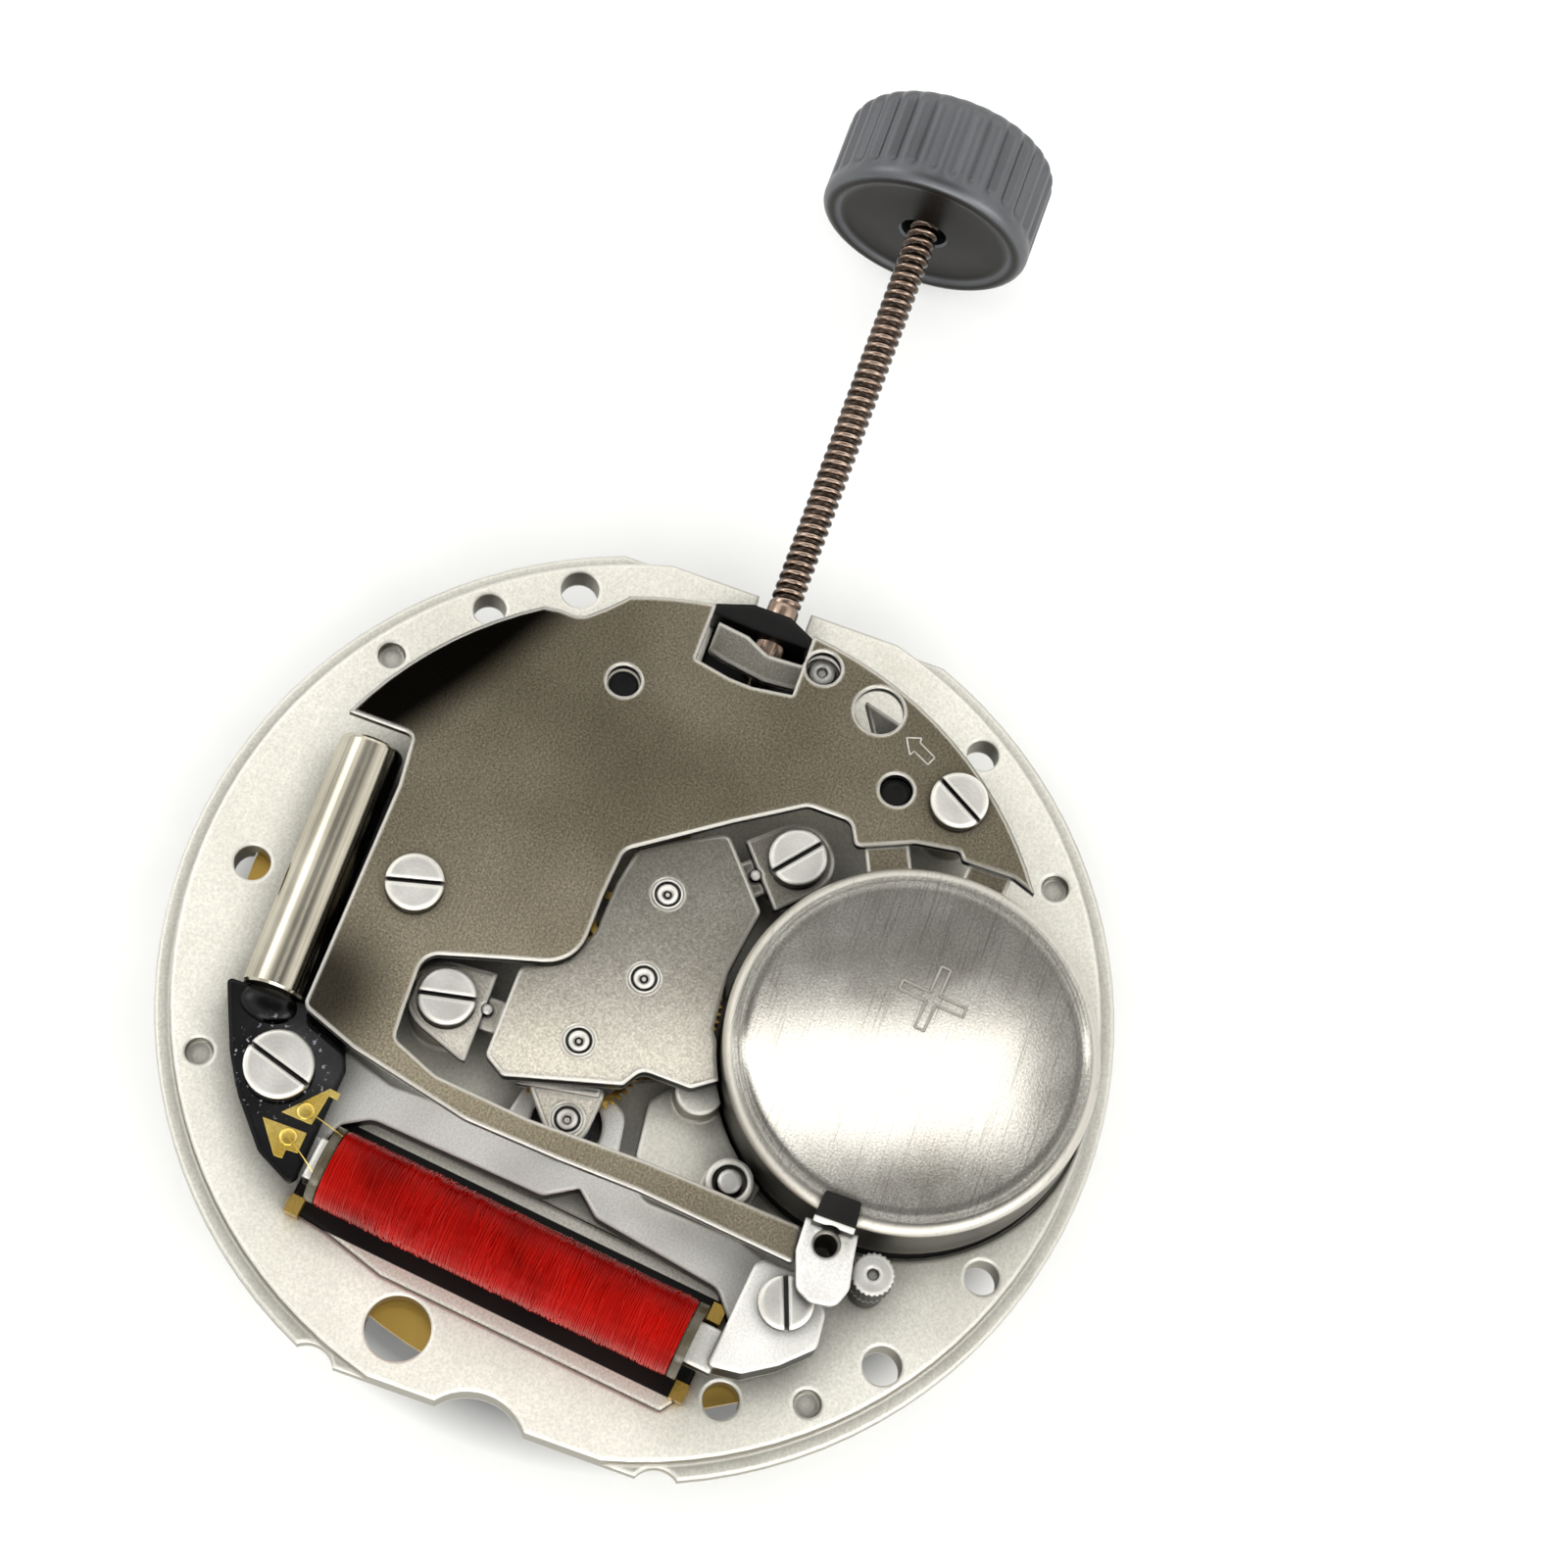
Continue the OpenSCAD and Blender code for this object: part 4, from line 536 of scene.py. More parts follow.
# The cell's edges take a painted highlight on the rim and painted shade on the upright side.
cell_steel = bare_metal(
    "cell_nickel", (186, 182, 172), (206, 203, 194), 0.06, grain_um=0.25, depth=0.14, patch_mm=1.2,
    edges=(colour(196, 192, 182), colour(78, 75, 69)))
tree = cell_steel.node_tree
worn = feeding(cell_steel, "Base Color")
for angle in SCRATCH_TURNS:
    hairs = grain(tree, 0.05, turn=angle, stretch=(0.02, 1.0, 1.0), detail=1.0)
    scratches = tone(tree, hairs, colour(232, 232, 232), WHITE, SCRATCH_FROM, SCRATCH_TO)
    worn = shade_with(tree, worn, scratches)
wire_up(cell_steel, Base_Color=worn)
FINISHES["cell_steel"] = cell_steel
print("finishes made:", FINISHES["brass"].name, cell_steel.name)

# %% [markdown]
# Crown and stem are steel too, but dull. The crown is bead blasted to a graphite grey, and
# painted shade makes it a little darker on the inner face, which is the one that points back
# along the stem.

# %% Crown
graphite = bare_metal(
    "graphite_crown", (94, 95, 98), (108, 109, 112), 0.42, grain_mm=0.035, grain_um=0.5, depth=0.06)
tree = graphite.node_tree
# Painted shade on the inner face.
inner = between(tree, facing(tree, "X"), -0.99, -0.8)
shadow = tone(tree, inner, colour(128, 124, 114), WHITE, 0.0, 1.0)
wire_up(graphite, Base_Color=shade_with(tree, feeding(graphite, "Base Color"), shadow))
FINISHES["crown_steel"] = graphite
print("finish made:", graphite.name)

# %% [markdown]
# The stem is brown from hardening, with oil in its thread, and only the crests get a painted
# highlight, brightest on top. A crest is told by its distance from the axis, and the top by
# where the surface points.

# %% Stem, rotor axle and magnet
STEM_Z = 1.0
GROOVE_R, CREST_R = 0.31 * MM, 0.345 * MM

oily = bare_metal(
    "oiled_stem", (54, 46, 40), (84, 71, 62), 0.22, grain_um=0.8, depth=0.2, patch_mm=0.6)
tree = oily.node_tree
# Painted highlight on the crests, brightest where they face up.
crest = between(tree, distance(tree, here(tree, (0, 1, 1)), (0, 0, STEM_Z)), GROOVE_R, CREST_R)
crest = calculate(tree, "MULTIPLY", crest, between(tree, facing(tree, "Z"), 0.4, 0.9, 0.1))
crest_highlight = tone(tree, grain(tree, 0.2), colour(142, 120, 106), colour(182, 160, 144))
wire_up(oily, Base_Color=mix(tree, crest, feeding(oily, "Base Color"), crest_highlight))
FINISHES["stem_steel"] = oily
FINISHES["rotor_axle"] = bare_metal("rotor_axle", (196, 190, 178), (220, 214, 202), 0.2)
FINISHES["magnet"] = bare_metal(
    "sintered_magnet", (66, 66, 70), (92, 92, 96), 0.42, grain_mm=0.04, grain_um=1.4, depth=0.2)
print("metals:", sorted(FINISHES))

# %% [markdown]
# ## Plastics, lacquers and stone
# These have no metal in them, so light enters a little and comes back coloured. Black plastic
# mirrors little. The enamel of the wire mirrors more, and tints what it mirrors red. Bobbin
# and jewel let light through.

# %% The recipe for plastics
def plastic(name, dark, light, roughness, grain_mm=0.08, grain_um=1.2, eased=True, **sockets):
    """A moulded or lacquered surface between two screen colours, with patches and a fine pebble."""
    named = {key.replace("_", " "): value for key, value in sockets.items()}
    finish = new_finish(name, named)
    tree = finish.node_tree
    patches = grain(tree, 1.5, detail=4.0)
    lowest, highest = max(0.03, roughness - 0.08), roughness + 0.08
    rough = between(tree, patches, NOISE_LOW, NOISE_HIGH, lowest, highest)
    base = tone(tree, patches, colour(*dark), colour(*light))
    normal = relief(tree, grain(tree, grain_mm), grain_um, under=rounded(tree) if eased else None)
    wire_up(finish, Base_Color=base, Roughness=rough, Normal=normal)
    return finish


FINISHES["black_plastic"] = plastic(
    "moulded_black", (13, 12, 12), (24, 22, 21), 0.4, Specular_IOR_Level=0.2)
FINISHES["board"] = plastic(
    "board_lacquer", (3, 3, 4), (8, 8, 9), 0.12, grain_mm=0.3, grain_um=1.0, Specular_IOR_Level=0.2)
FINISHES["bobbin"] = plastic(
    "bobbin_amber", (120, 104, 74), (150, 138, 104), 0.1, grain_mm=0.15, grain_um=2.0,
    Transmission_Weight=0.8, IOR=1.5, Coat_Weight=0.2, Coat_Roughness=0.06)
FINISHES["jewel"] = plastic(
    "ruby", (170, 18, 50), (200, 30, 66), 0.06, grain_mm=0.2, grain_um=0.3,
    Transmission_Weight=0.5, IOR=1.76)
FINISHES["winding"] = plastic(
    "red_enamel_wire", (120, 3, 2), (172, 11, 6), 0.24, grain_mm=0.03, grain_um=0.4, eased=False,
    Specular_IOR_Level=0.45, Specular_Tint=colour(255, 96, 78))
print("finishes:", len(FINISHES))

# %% [markdown]
# The screwdriver slipped on the board more than once. The scuffs it left lie in a ring just
# outside the screw head, where small flecks of noise turn the lacquer pale. Only the highest
# noise makes a fleck, so they stay few and ragged.

# %% Scuffs in the board's lacquer
BOARD_TOP = 1.7
SCUFFS_FULL_R, SCUFFS_END_R = 0.8, 1.25
FLECK_FROM, FLECK_TO = 0.62, 0.67

board = FINISHES["board"]
tree = board.node_tree
flecks = between(tree, grain(tree, 0.12, detail=6.0), FLECK_FROM, FLECK_TO)
away = cloud(tree, (*BOARD_SCREW, BOARD_TOP), SCUFFS_FULL_R, SCUFFS_END_R, 0.0)
scuffs = calculate(tree, "MULTIPLY", flecks, calculate(tree, "SUBTRACT", 1.0, away))
pale = tone(tree, grain(tree, 0.3), colour(140, 144, 160), colour(205, 200, 202))
wire_up(board, Base_Color=mix(tree, scuffs, feeding(board, "Base Color"), pale))
print("scuffs round the board screw")

# %% [markdown]
# The tray that holds the coil is black beside the coil, partly as its own black plastic and
# partly as a painted shadow of the coil, and plated like the plate along both margins. How
# far a point lies from the middle of the movement, toward the rim, decides which of the two
# it is.

# %% Tray of the coil, black only beside the coil
TOWARD_RIM = (-0.99415, 0.108, 0)
# The black band beside the coil is partly a painted shadow.
BLACK_FROM, BLACK_TO = 5.16, 7.44
BORDER = 0.01

tray_finish = plastic("black_tray", (10, 10, 10), (22, 20, 19), 0.4, Specular_IOR_Level=0.2)
tree = tray_finish.node_tree
measured = add(tree, "VectorMath", {0: here(tree), 1: TOWARD_RIM}, operation="DOT_PRODUCT")
measured = measured.outputs["Value"]
past = between(tree, measured, (BLACK_TO - BORDER) * MM, (BLACK_TO + BORDER) * MM)
before = between(tree, measured, (BLACK_FROM + BORDER) * MM, (BLACK_FROM - BORDER) * MM)
plated = calculate(tree, "MAXIMUM", past, before)
nickel = tone(tree, grain(tree, 0.06), colour(222, 218, 205), colour(249, 246, 236))
margins = mix(tree, plated, feeding(tray_finish, "Base Color"), nickel)
wire_up(tray_finish, Base_Color=margins, Metallic=plated, Roughness=between(tree, plated, 0, 1, 0.4, 0.5))
print("tray finish made:", tray_finish.name)

# %% [markdown]
# ## Dressing the solids
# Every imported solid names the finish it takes. A few need a word of their own: the can is
# drawn rather than cut, screws, pins and post are turned, and the pole plates, the coil core
# and the clamp are annealed.

# %% Finish on every solid
SPECIAL = [
    (drawn, ["crystal_can"]),
    (turned, ["cover_screws", "bridge_screws", "board_screw", "coil_screw", "contact_post",
              "locating_pins", "lever_pins"]),
    (annealed, ["coil_core", "stator", "battery_clamp"]),
    (tray_finish, ["coil_tray"]),
]
for piece in frame["nodes"].values():
    slot = piece.material_slots[0].material.name
    piece.material_slots[0].material = FINISHES[slot]
for finish, nodes in SPECIAL:
    for node in nodes:
        frame["nodes"][node].material_slots[0].material = finish
print("solids dressed:", len(frame["nodes"]))

# %% [markdown]
# The date ring is painted white on the side that faces the dial. A painted side can be told
# from a bare one by where its surface points, with no need to cut the mesh.

# %% Date ring, brass behind and white in front
ring_finish = new_finish("painted_ring", {})
tree = ring_finish.node_tree
painted = calculate(tree, "LESS_THAN", facing(tree, "Z"), -0.5)
speck = grain(tree, 0.06)
brass_tone = tone(tree, grain(tree, 2.0), colour(196, 158, 78), colour(222, 188, 104))
paint_tone = tone(tree, speck, colour(228, 227, 222), colour(240, 239, 235))
wire_up(
    ring_finish, Base_Color=mix(tree, painted, brass_tone, paint_tone),
    Metallic=calculate(tree, "SUBTRACT", 1.0, painted), Roughness=between(tree, painted, 0, 1, 0.28, 0.5),
    Normal=relief(tree, speck, 0.6))
frame["nodes"]["date_ring"].material_slots[0].material = ring_finish

# %% [markdown]
# ## Making pieces
# The finer pieces are plain lists of points and faces. Most are grids: a row of points that
# is repeated along or round the piece. A turned thing is one section repeated round an
# upright axis, and a wire is a small circle carried along a path.

# %% Helpers for new pieces
def make_piece(name, points_mm, faces, slot, body, finish=None, sharp_deg=40):
    """An object from points in millimetres, smooth except where it bends more than sharp_deg."""
    mesh = bpy.data.meshes.new(name)
    mesh.from_pydata([[v * MM for v in p] for p in points_mm], [], faces)
    mesh.validate()
    mesh.shade_smooth()
    mesh.set_sharp_from_angle(angle=math.radians(sharp_deg))
    mesh.materials.append(finish or FINISHES[slot])
    piece = bpy.data.objects.new(name, mesh)
    bpy.context.scene.collection.objects.link(piece)
    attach(piece, body)
    return piece


def circle(count):
    """This many angles, evenly spaced once round."""
    return [2 * math.pi * k / count for k in range(count)]


def arc(middle, radius, degrees):
    """Places on a round stretch of a section, at these angles."""
    turns = [math.radians(a) for a in degrees]
    return [(middle[0] + radius * math.cos(t), middle[1] + radius * math.sin(t)) for t in turns]


def grid_faces(rows, columns, start=0):
    """Faces between rows of points, each row closed round to its own first point."""
    faces = []
    for i in range(rows - 1):
        for j in range(columns):
            a, b = start + i * columns + j, start + i * columns + (j + 1) % columns
            faces.append((a, b, b + columns, a + columns))
    return faces


def lathe(name, at, section, slot, body, finish=None, sides=48, sharp_deg=35):
    """A turned piece from (radius, height) pairs, round an upright axis at this place."""
    turns = circle(sides)
    points = [(at[0] + r * math.cos(t), at[1] + r * math.sin(t), z) for r, z in section for t in turns]
    return make_piece(name, points, grid_faces(len(section), sides), slot, body, finish, sharp_deg)


def sweep(path, radius, sides, points, faces):
    """Adds a round wire along a path of points to the lists points and faces."""
    start = len(points)
    for i, middle in enumerate(path):
        along = (path[min(i + 1, len(path) - 1)] - path[max(i - 1, 0)]).normalized()
        side = (along.orthogonal() if i == 0 else side - along * side.dot(along)).normalized()
        other = along.cross(side)
        points += [middle + radius * (side * math.cos(t) + other * math.sin(t)) for t in circle(sides)]
    last = len(points) - sides
    faces += grid_faces(len(path), sides, start)
    faces.append(tuple(start + k for k in reversed(range(sides))))
    faces.append(tuple(last + k for k in range(sides)))


print("helpers ready")

# %% [markdown]
# ## The coil
# The real coil is thousands of turns of enamelled copper wire, finer than a hair. Only the
# top layer shows, so a drum carries one full layer of separate turns, wound as one path. A
# machine winds them in haste and the turns wander. The wandering comes from a few slow
# waves and a seeded random source, so the coil is the same every time.

# %% Coil measures
COIL_AT, COIL_TURN = (-6.35, 0.70, 1.70), 83.8
COIL_LEN = 8.0
COIL_R = 0.9
WIRE_R = 0.024
TURNS = 160
POINTS_PER_TURN = 24
WANDER = 0.35
SEED = 11

COIL_AXIS = Matrix.Translation(COIL_AT) @ Matrix.Rotation(math.radians(COIL_TURN), 4, "Z")
layer_r = COIL_R - 3.2 * WIRE_R
wound_half = COIL_LEN / 2 - 0.06
pitch = 2 * wound_half / TURNS
chance = random.Random(SEED)
print("wire of", 2 * WIRE_R, "mm,", TURNS, "turns on a radius of", round(layer_r, 3), "mm")

# %% [markdown]
# The path goes round the coil's axis in small steps. Each turn starts a little beside its
# even place, and the steps between lead over to where the next turn starts. The layers below
# push the wire out here and there.

# %% Wind the full layer
def coil_point(along, radius, angle):
    """A point of the winding, from its place along the axis, its radius and its angle."""
    return COIL_AXIS @ Vector((along, radius * math.cos(angle), radius * math.sin(angle)))


def unevenness(along, angle):
    """How far the layers below push the wire out, from about 0 to 1."""
    waves = math.sin(2.9 * along + 1.3 * math.sin(angle)) + math.sin(7.1 * along - 2 * angle + 0.7)
    return 0.5 + 0.2 * waves


drift = [chance.uniform(-WANDER, WANDER) * pitch for _ in range(TURNS + 2)]
path = []
for i in range(TURNS * POINTS_PER_TURN + 1):
    turn, part = divmod(i, POINTS_PER_TURN)
    blend = part / POINTS_PER_TURN
    even = -wound_half + pitch * i / POINTS_PER_TURN
    along = even + drift[turn] * (1 - blend) + drift[turn + 1] * blend
    angle = 2 * math.pi * blend
    path.append(coil_point(along, layer_r + 0.5 * WIRE_R * unevenness(along, angle), angle))
points, faces = [], []
sweep(path, WIRE_R, 6, points, faces)
print("layer points:", len(points))

# %% [markdown]
# Some turns climb over others beside them. Those crossing strands catch the light at odd
# angles, which gives the coil its ragged glitter. Each is a short wire of its own that rises
# out of the layer, runs slantwise over it and dips back in.

# %% Lay the crossing strands
STRANDS = 190
STRAND_R = 0.92 * WIRE_R
STRAND_STEPS = 14
MOST_CLIMB = 4

for _ in range(STRANDS):
    start = chance.uniform(-wound_half + 0.1, wound_half - 0.5)
    climb = chance.uniform(-MOST_CLIMB, MOST_CLIMB) * pitch
    first = chance.uniform(0, 2 * math.pi)
    reach = chance.uniform(0.5, 1.8)
    strand = []
    for k in range(STRAND_STEPS + 1):
        share = k / STRAND_STEPS
        lift = math.sin(math.pi * share) ** 0.5
        along = max(-wound_half, min(wound_half, start + climb * share))
        strand.append(coil_point(along, layer_r + WIRE_R * (0.2 + 0.9 * lift), first + reach * share))
    sweep(strand, STRAND_R, 5, points, faces)
winding = make_piece("coil_wire", points, faces, "winding", "frame", sharp_deg=70)
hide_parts("coil_winding")
print("wire faces:", len(faces))

# %% [markdown]
# Under the wire lies a drum of the inner layers, so that no daylight shows between turns. It
# is a tube, because the core passes through it.

# %% Drum of the inner layers
DRUM_SIDES = 64
DRUM_BORE_R = 0.5

drum_half = COIL_LEN / 2 - 0.01
section = [(-drum_half, DRUM_BORE_R), (-drum_half, layer_r), (drum_half, layer_r), (drum_half, DRUM_BORE_R)]
section += section[:1]
points = [coil_point(x, r, t) for x, r in section for t in circle(DRUM_SIDES)]
make_piece("coil_drum", points, grid_faces(len(section), DRUM_SIDES), "winding", "frame")
print("drum length in mm:", round(2 * drum_half, 2))

# %% [markdown]
# ## Stem
# The stem has a pilot that runs in the plate, a square for the sliding pinion, a groove for
# the setting lever and a fine thread for the crown. The thread is one grid: rows along the
# stem whose radius follows a spiral wave. The pitch, 0.234 mm, was counted in the picture.

# %% Shape of the stem and its thread
STEM_R = 0.35
EASED_R = 0.33
SQUARE_R = 0.29
PILOT_R = 0.15
GROOVE_BED_R = 0.2
POINT_R = 0.001
THREAD_PITCH = 0.234
THREAD_DEPTH = 0.085
THREAD_FROM, THREAD_TO = 9.3, 19.6
RUN_OUT = 0.15
STEM_END = 20.4
STEM_SIDES = 32
ROWS_PER_TURN = 9


def clamp(value):
    """The value, but never below 0 or above 1."""
    return min(1.0, max(0.0, value))


def thread_radius(x, angle):
    """The radius of the thread at a place along the stem and an angle round it."""
    phase = (x / THREAD_PITCH - angle / (2 * math.pi)) % 1.0
    ridge = clamp(2.4 * abs(2 * phase - 1) - 0.7)
    fade = clamp((x - THREAD_FROM) / RUN_OUT) * clamp((THREAD_TO - x) / RUN_OUT)
    return STEM_R - THREAD_DEPTH * (1 - ridge) * fade


def stem_ring(x, radii):
    """Points round the stem's axis at x, one for each radius given."""
    return [(x, r * math.cos(t), STEM_Z + r * math.sin(t)) for r, t in zip(radii, circle(len(radii)))]


print("thread turns:", round((THREAD_TO - THREAD_FROM) / THREAD_PITCH, 1))

# %% [markdown]
# The plain inner end of the stem is a short list of places and radii. From there on the rows
# come from the thread's formula, nine for each turn of the thread.

# %% Turn the stem and cut its thread
plain = [(4.7, POINT_R), (4.7, 0.12), (4.73, PILOT_R), (5.75, PILOT_R), (5.76, SQUARE_R), (7.1, SQUARE_R),
         (7.1, EASED_R), (7.12, STEM_R), (7.205, STEM_R), (7.22, EASED_R), (7.22, GROOVE_BED_R),
         (7.56, GROOVE_BED_R), (7.56, EASED_R), (7.575, STEM_R), (9.25, STEM_R)]
rows = [stem_ring(x, [r] * STEM_SIDES) for x, r in plain]
steps = int((STEM_END - THREAD_FROM) / THREAD_PITCH * ROWS_PER_TURN)
for i in range(steps + 1):
    x = THREAD_FROM + (STEM_END - THREAD_FROM) * i / steps
    rows.append(stem_ring(x, [thread_radius(x, t) for t in circle(STEM_SIDES)]))
rows.append(stem_ring(STEM_END, [POINT_R] * STEM_SIDES))
points = [p for row in rows for p in row]
faces = grid_faces(len(rows), STEM_SIDES)
stem = make_piece("threaded_stem", points, faces, "stem_steel", "stem", sharp_deg=60)
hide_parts("stem")
print("stem faces:", len(faces))

# %% [markdown]
# ## Crown
# The crown is turned, then its side is rolled with shallow grip flutes that fade out before
# the inner rim. Its inner face is dished, with a lip near the edge and a dark hole round the
# stem. Its section is a list of depth, radius and weight. The weight says how deep the
# flutes cut there.

# %% Section of the crown
CROWN_X = 19.0
CROWN_R = 2.425
CROWN_T = 2.5
RIM_R = 0.26
END_R = 0.45

profile = [(1.2, 0.36, 0), (0.5, 0.5, 0), (0.12, 0.53, 0), (0.07, 0.58, 0), (0.07, 0.62, 0),
           (0.115, 1.2, 0), (0.13, 1.8, 0), (0.12, 1.95, 0), (0.08, 2.01, 0), (0.03, 2.06, 0),
           (0.0, 2.14, 0)]
profile += [(*spot, 0) for spot in arc((RIM_R, CROWN_R - RIM_R), RIM_R, range(170, 89, -16))]
profile += [(RIM_R + 0.06 * k, CROWN_R, min(1.0, k / 5) ** 2) for k in range(1, 7)]
profile += [(x / 10, CROWN_R, 1.0) for x in range(8, 21, 3)]
round_end = range(90, -1, -10)
for spot, angle in zip(arc((CROWN_T - END_R, CROWN_R - END_R), END_R, round_end), round_end):
    profile.append((*spot, math.sin(math.radians(angle)) ** 2))
profile += [(CROWN_T, 1.2, 0), (CROWN_T, 0.02, 0)]
print("places in the crown's section:", len(profile))

# %% [markdown]
# One grid makes the crown: each row is a circle that dips 32 times. The dips are narrow
# valleys between broad ridges, as a power of a wave gives them.

# %% Turn the crown and press its flutes
FLUTES = 32
FLUTE_DEPTH = 0.1
FLUTE_POWER = 1.8
SIDES_PER_FLUTE = 8

columns = FLUTES * SIDES_PER_FLUTE
dips = [FLUTE_DEPTH * (0.5 - 0.5 * math.cos(FLUTES * t)) ** FLUTE_POWER for t in circle(columns)]
points = []
for depth, radius, weight in profile:
    points += stem_ring(CROWN_X + depth, [radius - weight * dip for dip in dips])
crown = make_piece("fluted_crown", points, grid_faces(len(profile), columns), "crown_steel", "stem")
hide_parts("crown")
print("crown of", FLUTES, "flutes,", len(crown.data.polygons), "faces")

# %% [markdown]
# ## Cell
# A button cell is a deep drawn can: a flat top with a softly rounded shoulder, and a faint
# ring where the top was ironed flat. It closes round a smaller cap below, with a seal between.
# It is turned here from its section, finer than the solid it stands for.

# %% Turn the cell
CELL_AT = (0.33, -5.75)
CELL_R = 3.95
CELL_FROM, CELL_TO = 0.8, 2.9
CELL_FACE = CELL_TO - 0.006
CAP_R, SEAL_R = 3.2, 3.78
SHOULDER = 0.24

section = [(POINT_R, CELL_FROM), (CAP_R - 0.1, CELL_FROM), (CAP_R, CELL_FROM + 0.06),
           (CAP_R, CELL_FROM + 0.2), (SEAL_R, CELL_FROM + 0.2), (SEAL_R + 0.08, CELL_FROM + 0.21),
           (CELL_R - 0.02, CELL_FROM + 0.29), (CELL_R, CELL_FROM + 0.36), (CELL_R, CELL_TO - SHOULDER)]
section += arc((CELL_R - SHOULDER, CELL_TO - SHOULDER), SHOULDER, range(10, 91, 10))
section += [(3.62, CELL_TO), (3.585, CELL_TO - 0.012), (3.55, CELL_TO - 0.004), (3.4, CELL_FACE),
            (POINT_R, CELL_FACE)]
cell = lathe("cell_can", CELL_AT, section, "cell_steel", "frame", sides=160, sharp_deg=50)
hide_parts("battery")
print("cell of", 2 * CELL_R, "mm")

# %% [markdown]
# Stamped signs show as bright ridges round a shallow floor. A thin wire laid along the
# outline of the sign, half sunk in the surface, gives that line of light from every side.
# The cell has the plus sign that every such cell has, and the cover an arrow that points at
# the hole where the stem is released.

# %% Stamp the plus sign and the arrow
def stamped_outline(name, corners, height, slot, line_r):
    """A raised line round a shape that lies flat at this height."""
    points, faces = [], []
    closed = corners + corners[:1]
    for a, b in zip(closed, closed[1:]):
        start, end = Vector((*a, height)), Vector((*b, height))
        sweep([start, start.lerp(end, 0.5), end], line_r, 8, points, faces)
    return make_piece(name, points, faces, slot, "frame")


PLUS_AT = Vector((1.475, -5.80))
PLUS_ARM, PLUS_HALF, PLUS_TURN = 0.72, 0.105, -5
ARROW = [(6.929, -3.471), (7.029, -3.772), (6.921, -3.779), (6.714, -4.178), (6.511, -4.09),
         (6.695, -3.715), (6.583, -3.657)]
ARROW_SUNK = 0.006

arm = [(PLUS_HALF, PLUS_HALF), (PLUS_HALF, PLUS_ARM), (-PLUS_HALF, PLUS_ARM)]
plus_corners = []
for quarter in range(4):
    turn = Matrix.Rotation(math.radians(90 * quarter + PLUS_TURN), 2)
    plus_corners += [tuple(PLUS_AT + turn @ Vector(p)) for p in arm]
stamped_outline("cell_plus", plus_corners, CELL_FACE, "cell_steel", 0.03)
arrow = stamped_outline("release_arrow", ARROW, COVER_TOP - ARROW_SUNK, "cover", 0.02)
arrow.data.materials[0] = turned
print("signs stamped: plus and arrow")

# %% [markdown]
# ## Bearings, pegs and glue
# The wheels turn in small pressed bearings. Each is a turned ring with a polished rim, a
# ledge, an oil cup and the tip of the wheel's pivot in its middle. The tips belong to the
# wheels and turn with them.

# %% Bearings of the train
BEARING = [(0.33, -0.4), (0.33, -0.01), (0.325, 0.01), (0.305, 0.018), (0.285, 0.01), (0.275, -0.06),
           (0.235, -0.075), (0.225, -0.01), (0.205, 0.012), (0.14, 0.008), (0.125, -0.03),
           (0.085, -0.06), (0.085, -0.4), (0.33, -0.4)]
PIVOT = [(POINT_R, 0.03), (0.03, 0.028), (0.055, 0.015), (0.061, -0.01), (0.061, -0.12), (POINT_R, -0.12)]
PIVOT_SUNK = 0.07
BEARINGS = [((0.0, 0.0), 2.18), ((1.908, 0.150), 2.18), ((-1.737, 0.8175), 2.18), ((-3.278, 0.498), 1.74)]

for k, (at, top) in enumerate(BEARINGS):
    raised = [(r, top + z) for r, z in BEARING]
    bearing = lathe(f"bearing_{k + 1}", at, raised, "bright_steel", "frame", turned)
    if k == 0:
        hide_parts("bridge_bushings")
for wheel, (at, top) in zip(("seconds", "third", "intermediate"), BEARINGS):
    raised = [(r, top - PIVOT_SUNK + z) for r, z in PIVOT]
    lathe(f"{wheel}_pivot", at, raised, "bright_steel", wheel, polish, sides=24)
print("bearings:", len(BEARINGS))

# %% [markdown]
# A hole of the cover shows a black peg that stands on the plate below it. The pin of the
# setting lever wears a small black cap, and a drop of black glue holds the leads of the
# crystal to the board.

# %% Black peg, cap of the lever pin and a drop of glue
PEG_R, PEG_DISH_R = 0.33, 0.22
PEG_EASE = 0.03
PEGS = [((6.0, 2.6), 0.8, 2.13), ((5.73, -3.64), 1.95, 2.17)]
GLUE_AT, GLUE_SIZE = Vector((-3.1, 7.15, 1.69)), Vector((0.42, 0.62, 0.27))
GLUE_TURNS = (0, 0.25, 0.5, 0.8, 1.1, 1.35, 1.569)

for k, (at, foot, top) in enumerate(PEGS):
    section = [(POINT_R, foot), (PEG_R, foot), (PEG_R, top - PEG_EASE), (PEG_R - PEG_EASE, top)]
    section += [(PEG_DISH_R + 0.02, top), (PEG_DISH_R, top - PEG_EASE), (POINT_R, top - PEG_EASE)]
    lathe(f"base_peg_{k + 1}", at, section, "black_plastic", "frame")
glue = lathe("glue_drop", (0, 0), [(math.cos(a), math.sin(a)) for a in GLUE_TURNS], "board", "frame")
for corner in glue.data.vertices:
    corner.co = GLUE_AT * MM + corner.co * GLUE_SIZE
print("pegs and caps:", len(PEGS), "and one drop of glue")

# %% [markdown]
# ## Connections of the coil
# The wire ends are soldered to two gold plated pads at the corner of the board. The pads are
# thin plates with eased edges, drawn corner by corner, counterclockwise as seen from above.

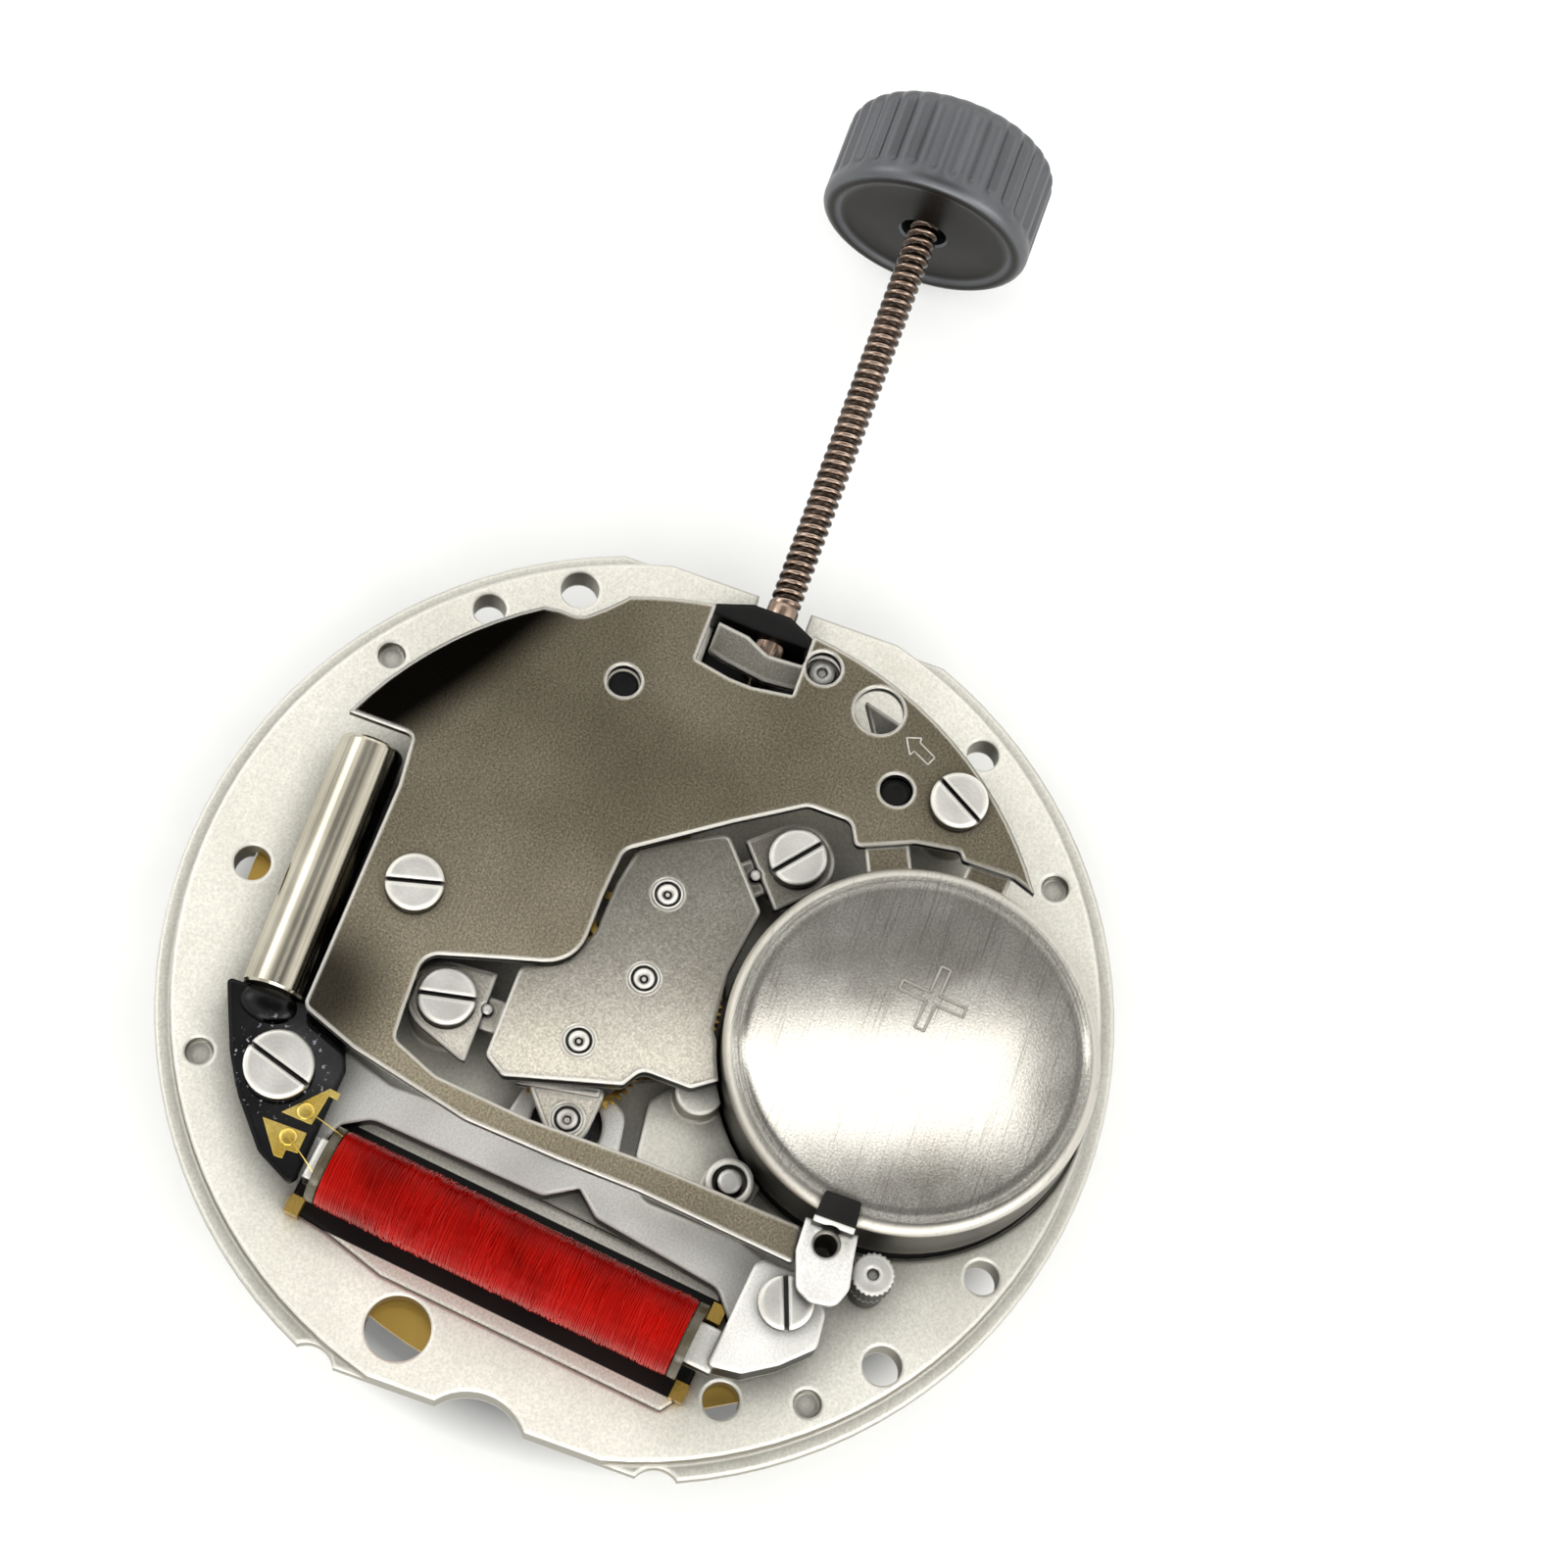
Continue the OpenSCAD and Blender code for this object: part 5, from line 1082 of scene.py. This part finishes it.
# %% Gold pads
def flat_plate(name, outline, low, high, slot, finish):
    """A plate with this outline between two heights, its rim eased by a small bevel."""
    count = len(outline)
    points = [(*p, low) for p in outline] + [(*p, high) for p in outline]
    faces = [tuple(reversed(range(count))), tuple(range(count, 2 * count))]
    faces += [(k, (k + 1) % count, count + (k + 1) % count, count + k) for k in range(count)]
    piece = make_piece(name, points, faces, slot, "frame", finish)
    bevel = piece.modifiers.new("eased_edges", "BEVEL")
    bevel.width = 0.25 * (high - low) * MM
    bevel.segments = 2
    return piece


PAD_T = 0.03
PADS = [
    [(-5.17, 6.06), (-5.21, 5.38), (-4.52, 5.27), (-4.55, 5.08), (-4.39, 5.06), (-4.36, 5.30)],
    [(-5.40, 6.38), (-6.08, 5.88), (-6.08, 5.69), (-5.88, 5.68), (-5.87, 5.43), (-5.41, 5.41)],
]
gold = bare_metal("gold_plating", (228, 192, 88), (250, 224, 134), 0.3, grain_um=0.8, patch_mm=0.5)
for k, outline in enumerate(PADS):
    pad = flat_plate(f"solder_pad_{k + 1}", outline, BOARD_TOP, BOARD_TOP + PAD_T, "brass", gold)
    if k == 0:
        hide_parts("contact_pads")
print("pads:", len(PADS))

# %% [markdown]
# Each pad has a round drop of solder, low and wide, and a wire that comes over from the end
# of the coil in a shallow arch.

# %% Solder drops and wire ends
DROPS = [(-4.973, 5.60), (-5.608, 5.74)]
DROP_R, DROP_H = 0.19, 0.035
DROP_LOW = BOARD_TOP + PAD_T - 0.002
WIRE_OUT = [(COIL_LEN / 2 + 0.02, -0.55, 0.62), (COIL_LEN / 2 + 0.02, 0.5, 0.62)]
WIRE_DOWN = BOARD_TOP + 0.055
WIRE_END_R = 0.013
ARCH_H = 0.10
WIRE_STEPS = 12

drop = [(DROP_R * out + 0.0005, DROP_LOW + DROP_H * up) for out, up in arc((0, 0), 1, range(0, 91, 15))]
for k, at in enumerate(DROPS):
    lathe(f"solder_drop_{k + 1}", at, drop, "brass", "frame", gold, sides=28)
for k, (at, out) in enumerate(zip(DROPS, WIRE_OUT)):
    points, faces = [], []
    near = COIL_AXIS @ Vector(out)
    far = Vector((*at, WIRE_DOWN))
    arch = Vector((0, 0, ARCH_H))
    shares = [step / WIRE_STEPS for step in range(WIRE_STEPS + 1)]
    route = [near.lerp(far, s) + arch * math.sin(math.pi * s) for s in shares]
    sweep(route, WIRE_END_R, 8, points, faces)
    make_piece(f"wire_end_{k + 1}", points, faces, "winding", "frame", gold)
print("wire ends soldered:", len(DROPS))

# %% [markdown]
# ## Dates
# Nobody sees the dial side in the picture, but the ring there carries the days of the month.
# They are ordinary numbers, made from text and pressed flat on the painted face, upright
# where the date window of a dial would be.

# %% Print the numbers on the date ring
DAYS = 31
NUMBER_R = 7.42
NUMBER_SIZE = 1.15
INK_GAP = 0.004

ring_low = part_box("date_ring")[0].z
ink = plastic("black_ink", (20, 20, 22), (30, 30, 32), 0.5)
numbers = bmesh.new()
for day, turn in enumerate(circle(DAYS), 1):
    text = bpy.data.curves.new("day", "FONT")
    text.body = str(day)
    text.size = NUMBER_SIZE * MM
    text.align_x, text.align_y = "CENTER", "CENTER"
    text.resolution_u = 3
    holder = bpy.data.objects.new("day", text)
    bpy.context.scene.collection.objects.link(holder)
    flat = bpy.data.meshes.new_from_object(holder.evaluated_get(bpy.context.evaluated_depsgraph_get()))
    across = Vector((math.cos(turn), math.sin(turn), 0))
    upward = Vector((math.sin(turn), -math.cos(turn), 0))
    place = Matrix((across, upward, Vector((0, 0, -1)))).transposed().to_4x4()
    place.translation = across * NUMBER_R * MM + Vector((0, 0, ring_low - INK_GAP * MM))
    flat.transform(place)
    numbers.from_mesh(flat)
    bpy.data.objects.remove(holder)
    bpy.data.meshes.remove(flat)
printed = bpy.data.meshes.new("date_numbers")
numbers.to_mesh(printed)
numbers.free()
printed.materials.append(ink)
date_numbers = bpy.data.objects.new("date_numbers", printed)
bpy.context.scene.collection.objects.link(date_numbers)
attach(date_numbers, "date_ring")
print("days printed:", DAYS, "faces:", len(printed.polygons))

# %% [markdown]
# ## Size and finish
# The looks should leave the movement as big as the solids, and the last cell prints how far the two boxes
# differ.

# %% Print how far the seen box lies from the solids
seen_box = [list(corner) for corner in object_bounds()]
for low_high, cad_corner, seen_corner in zip(("low", "high"), cad_box, seen_box):
    print(low_high, [round((s - c) / MM, 3) for s, c in zip(seen_corner, cad_corner)], "mm from the solids")
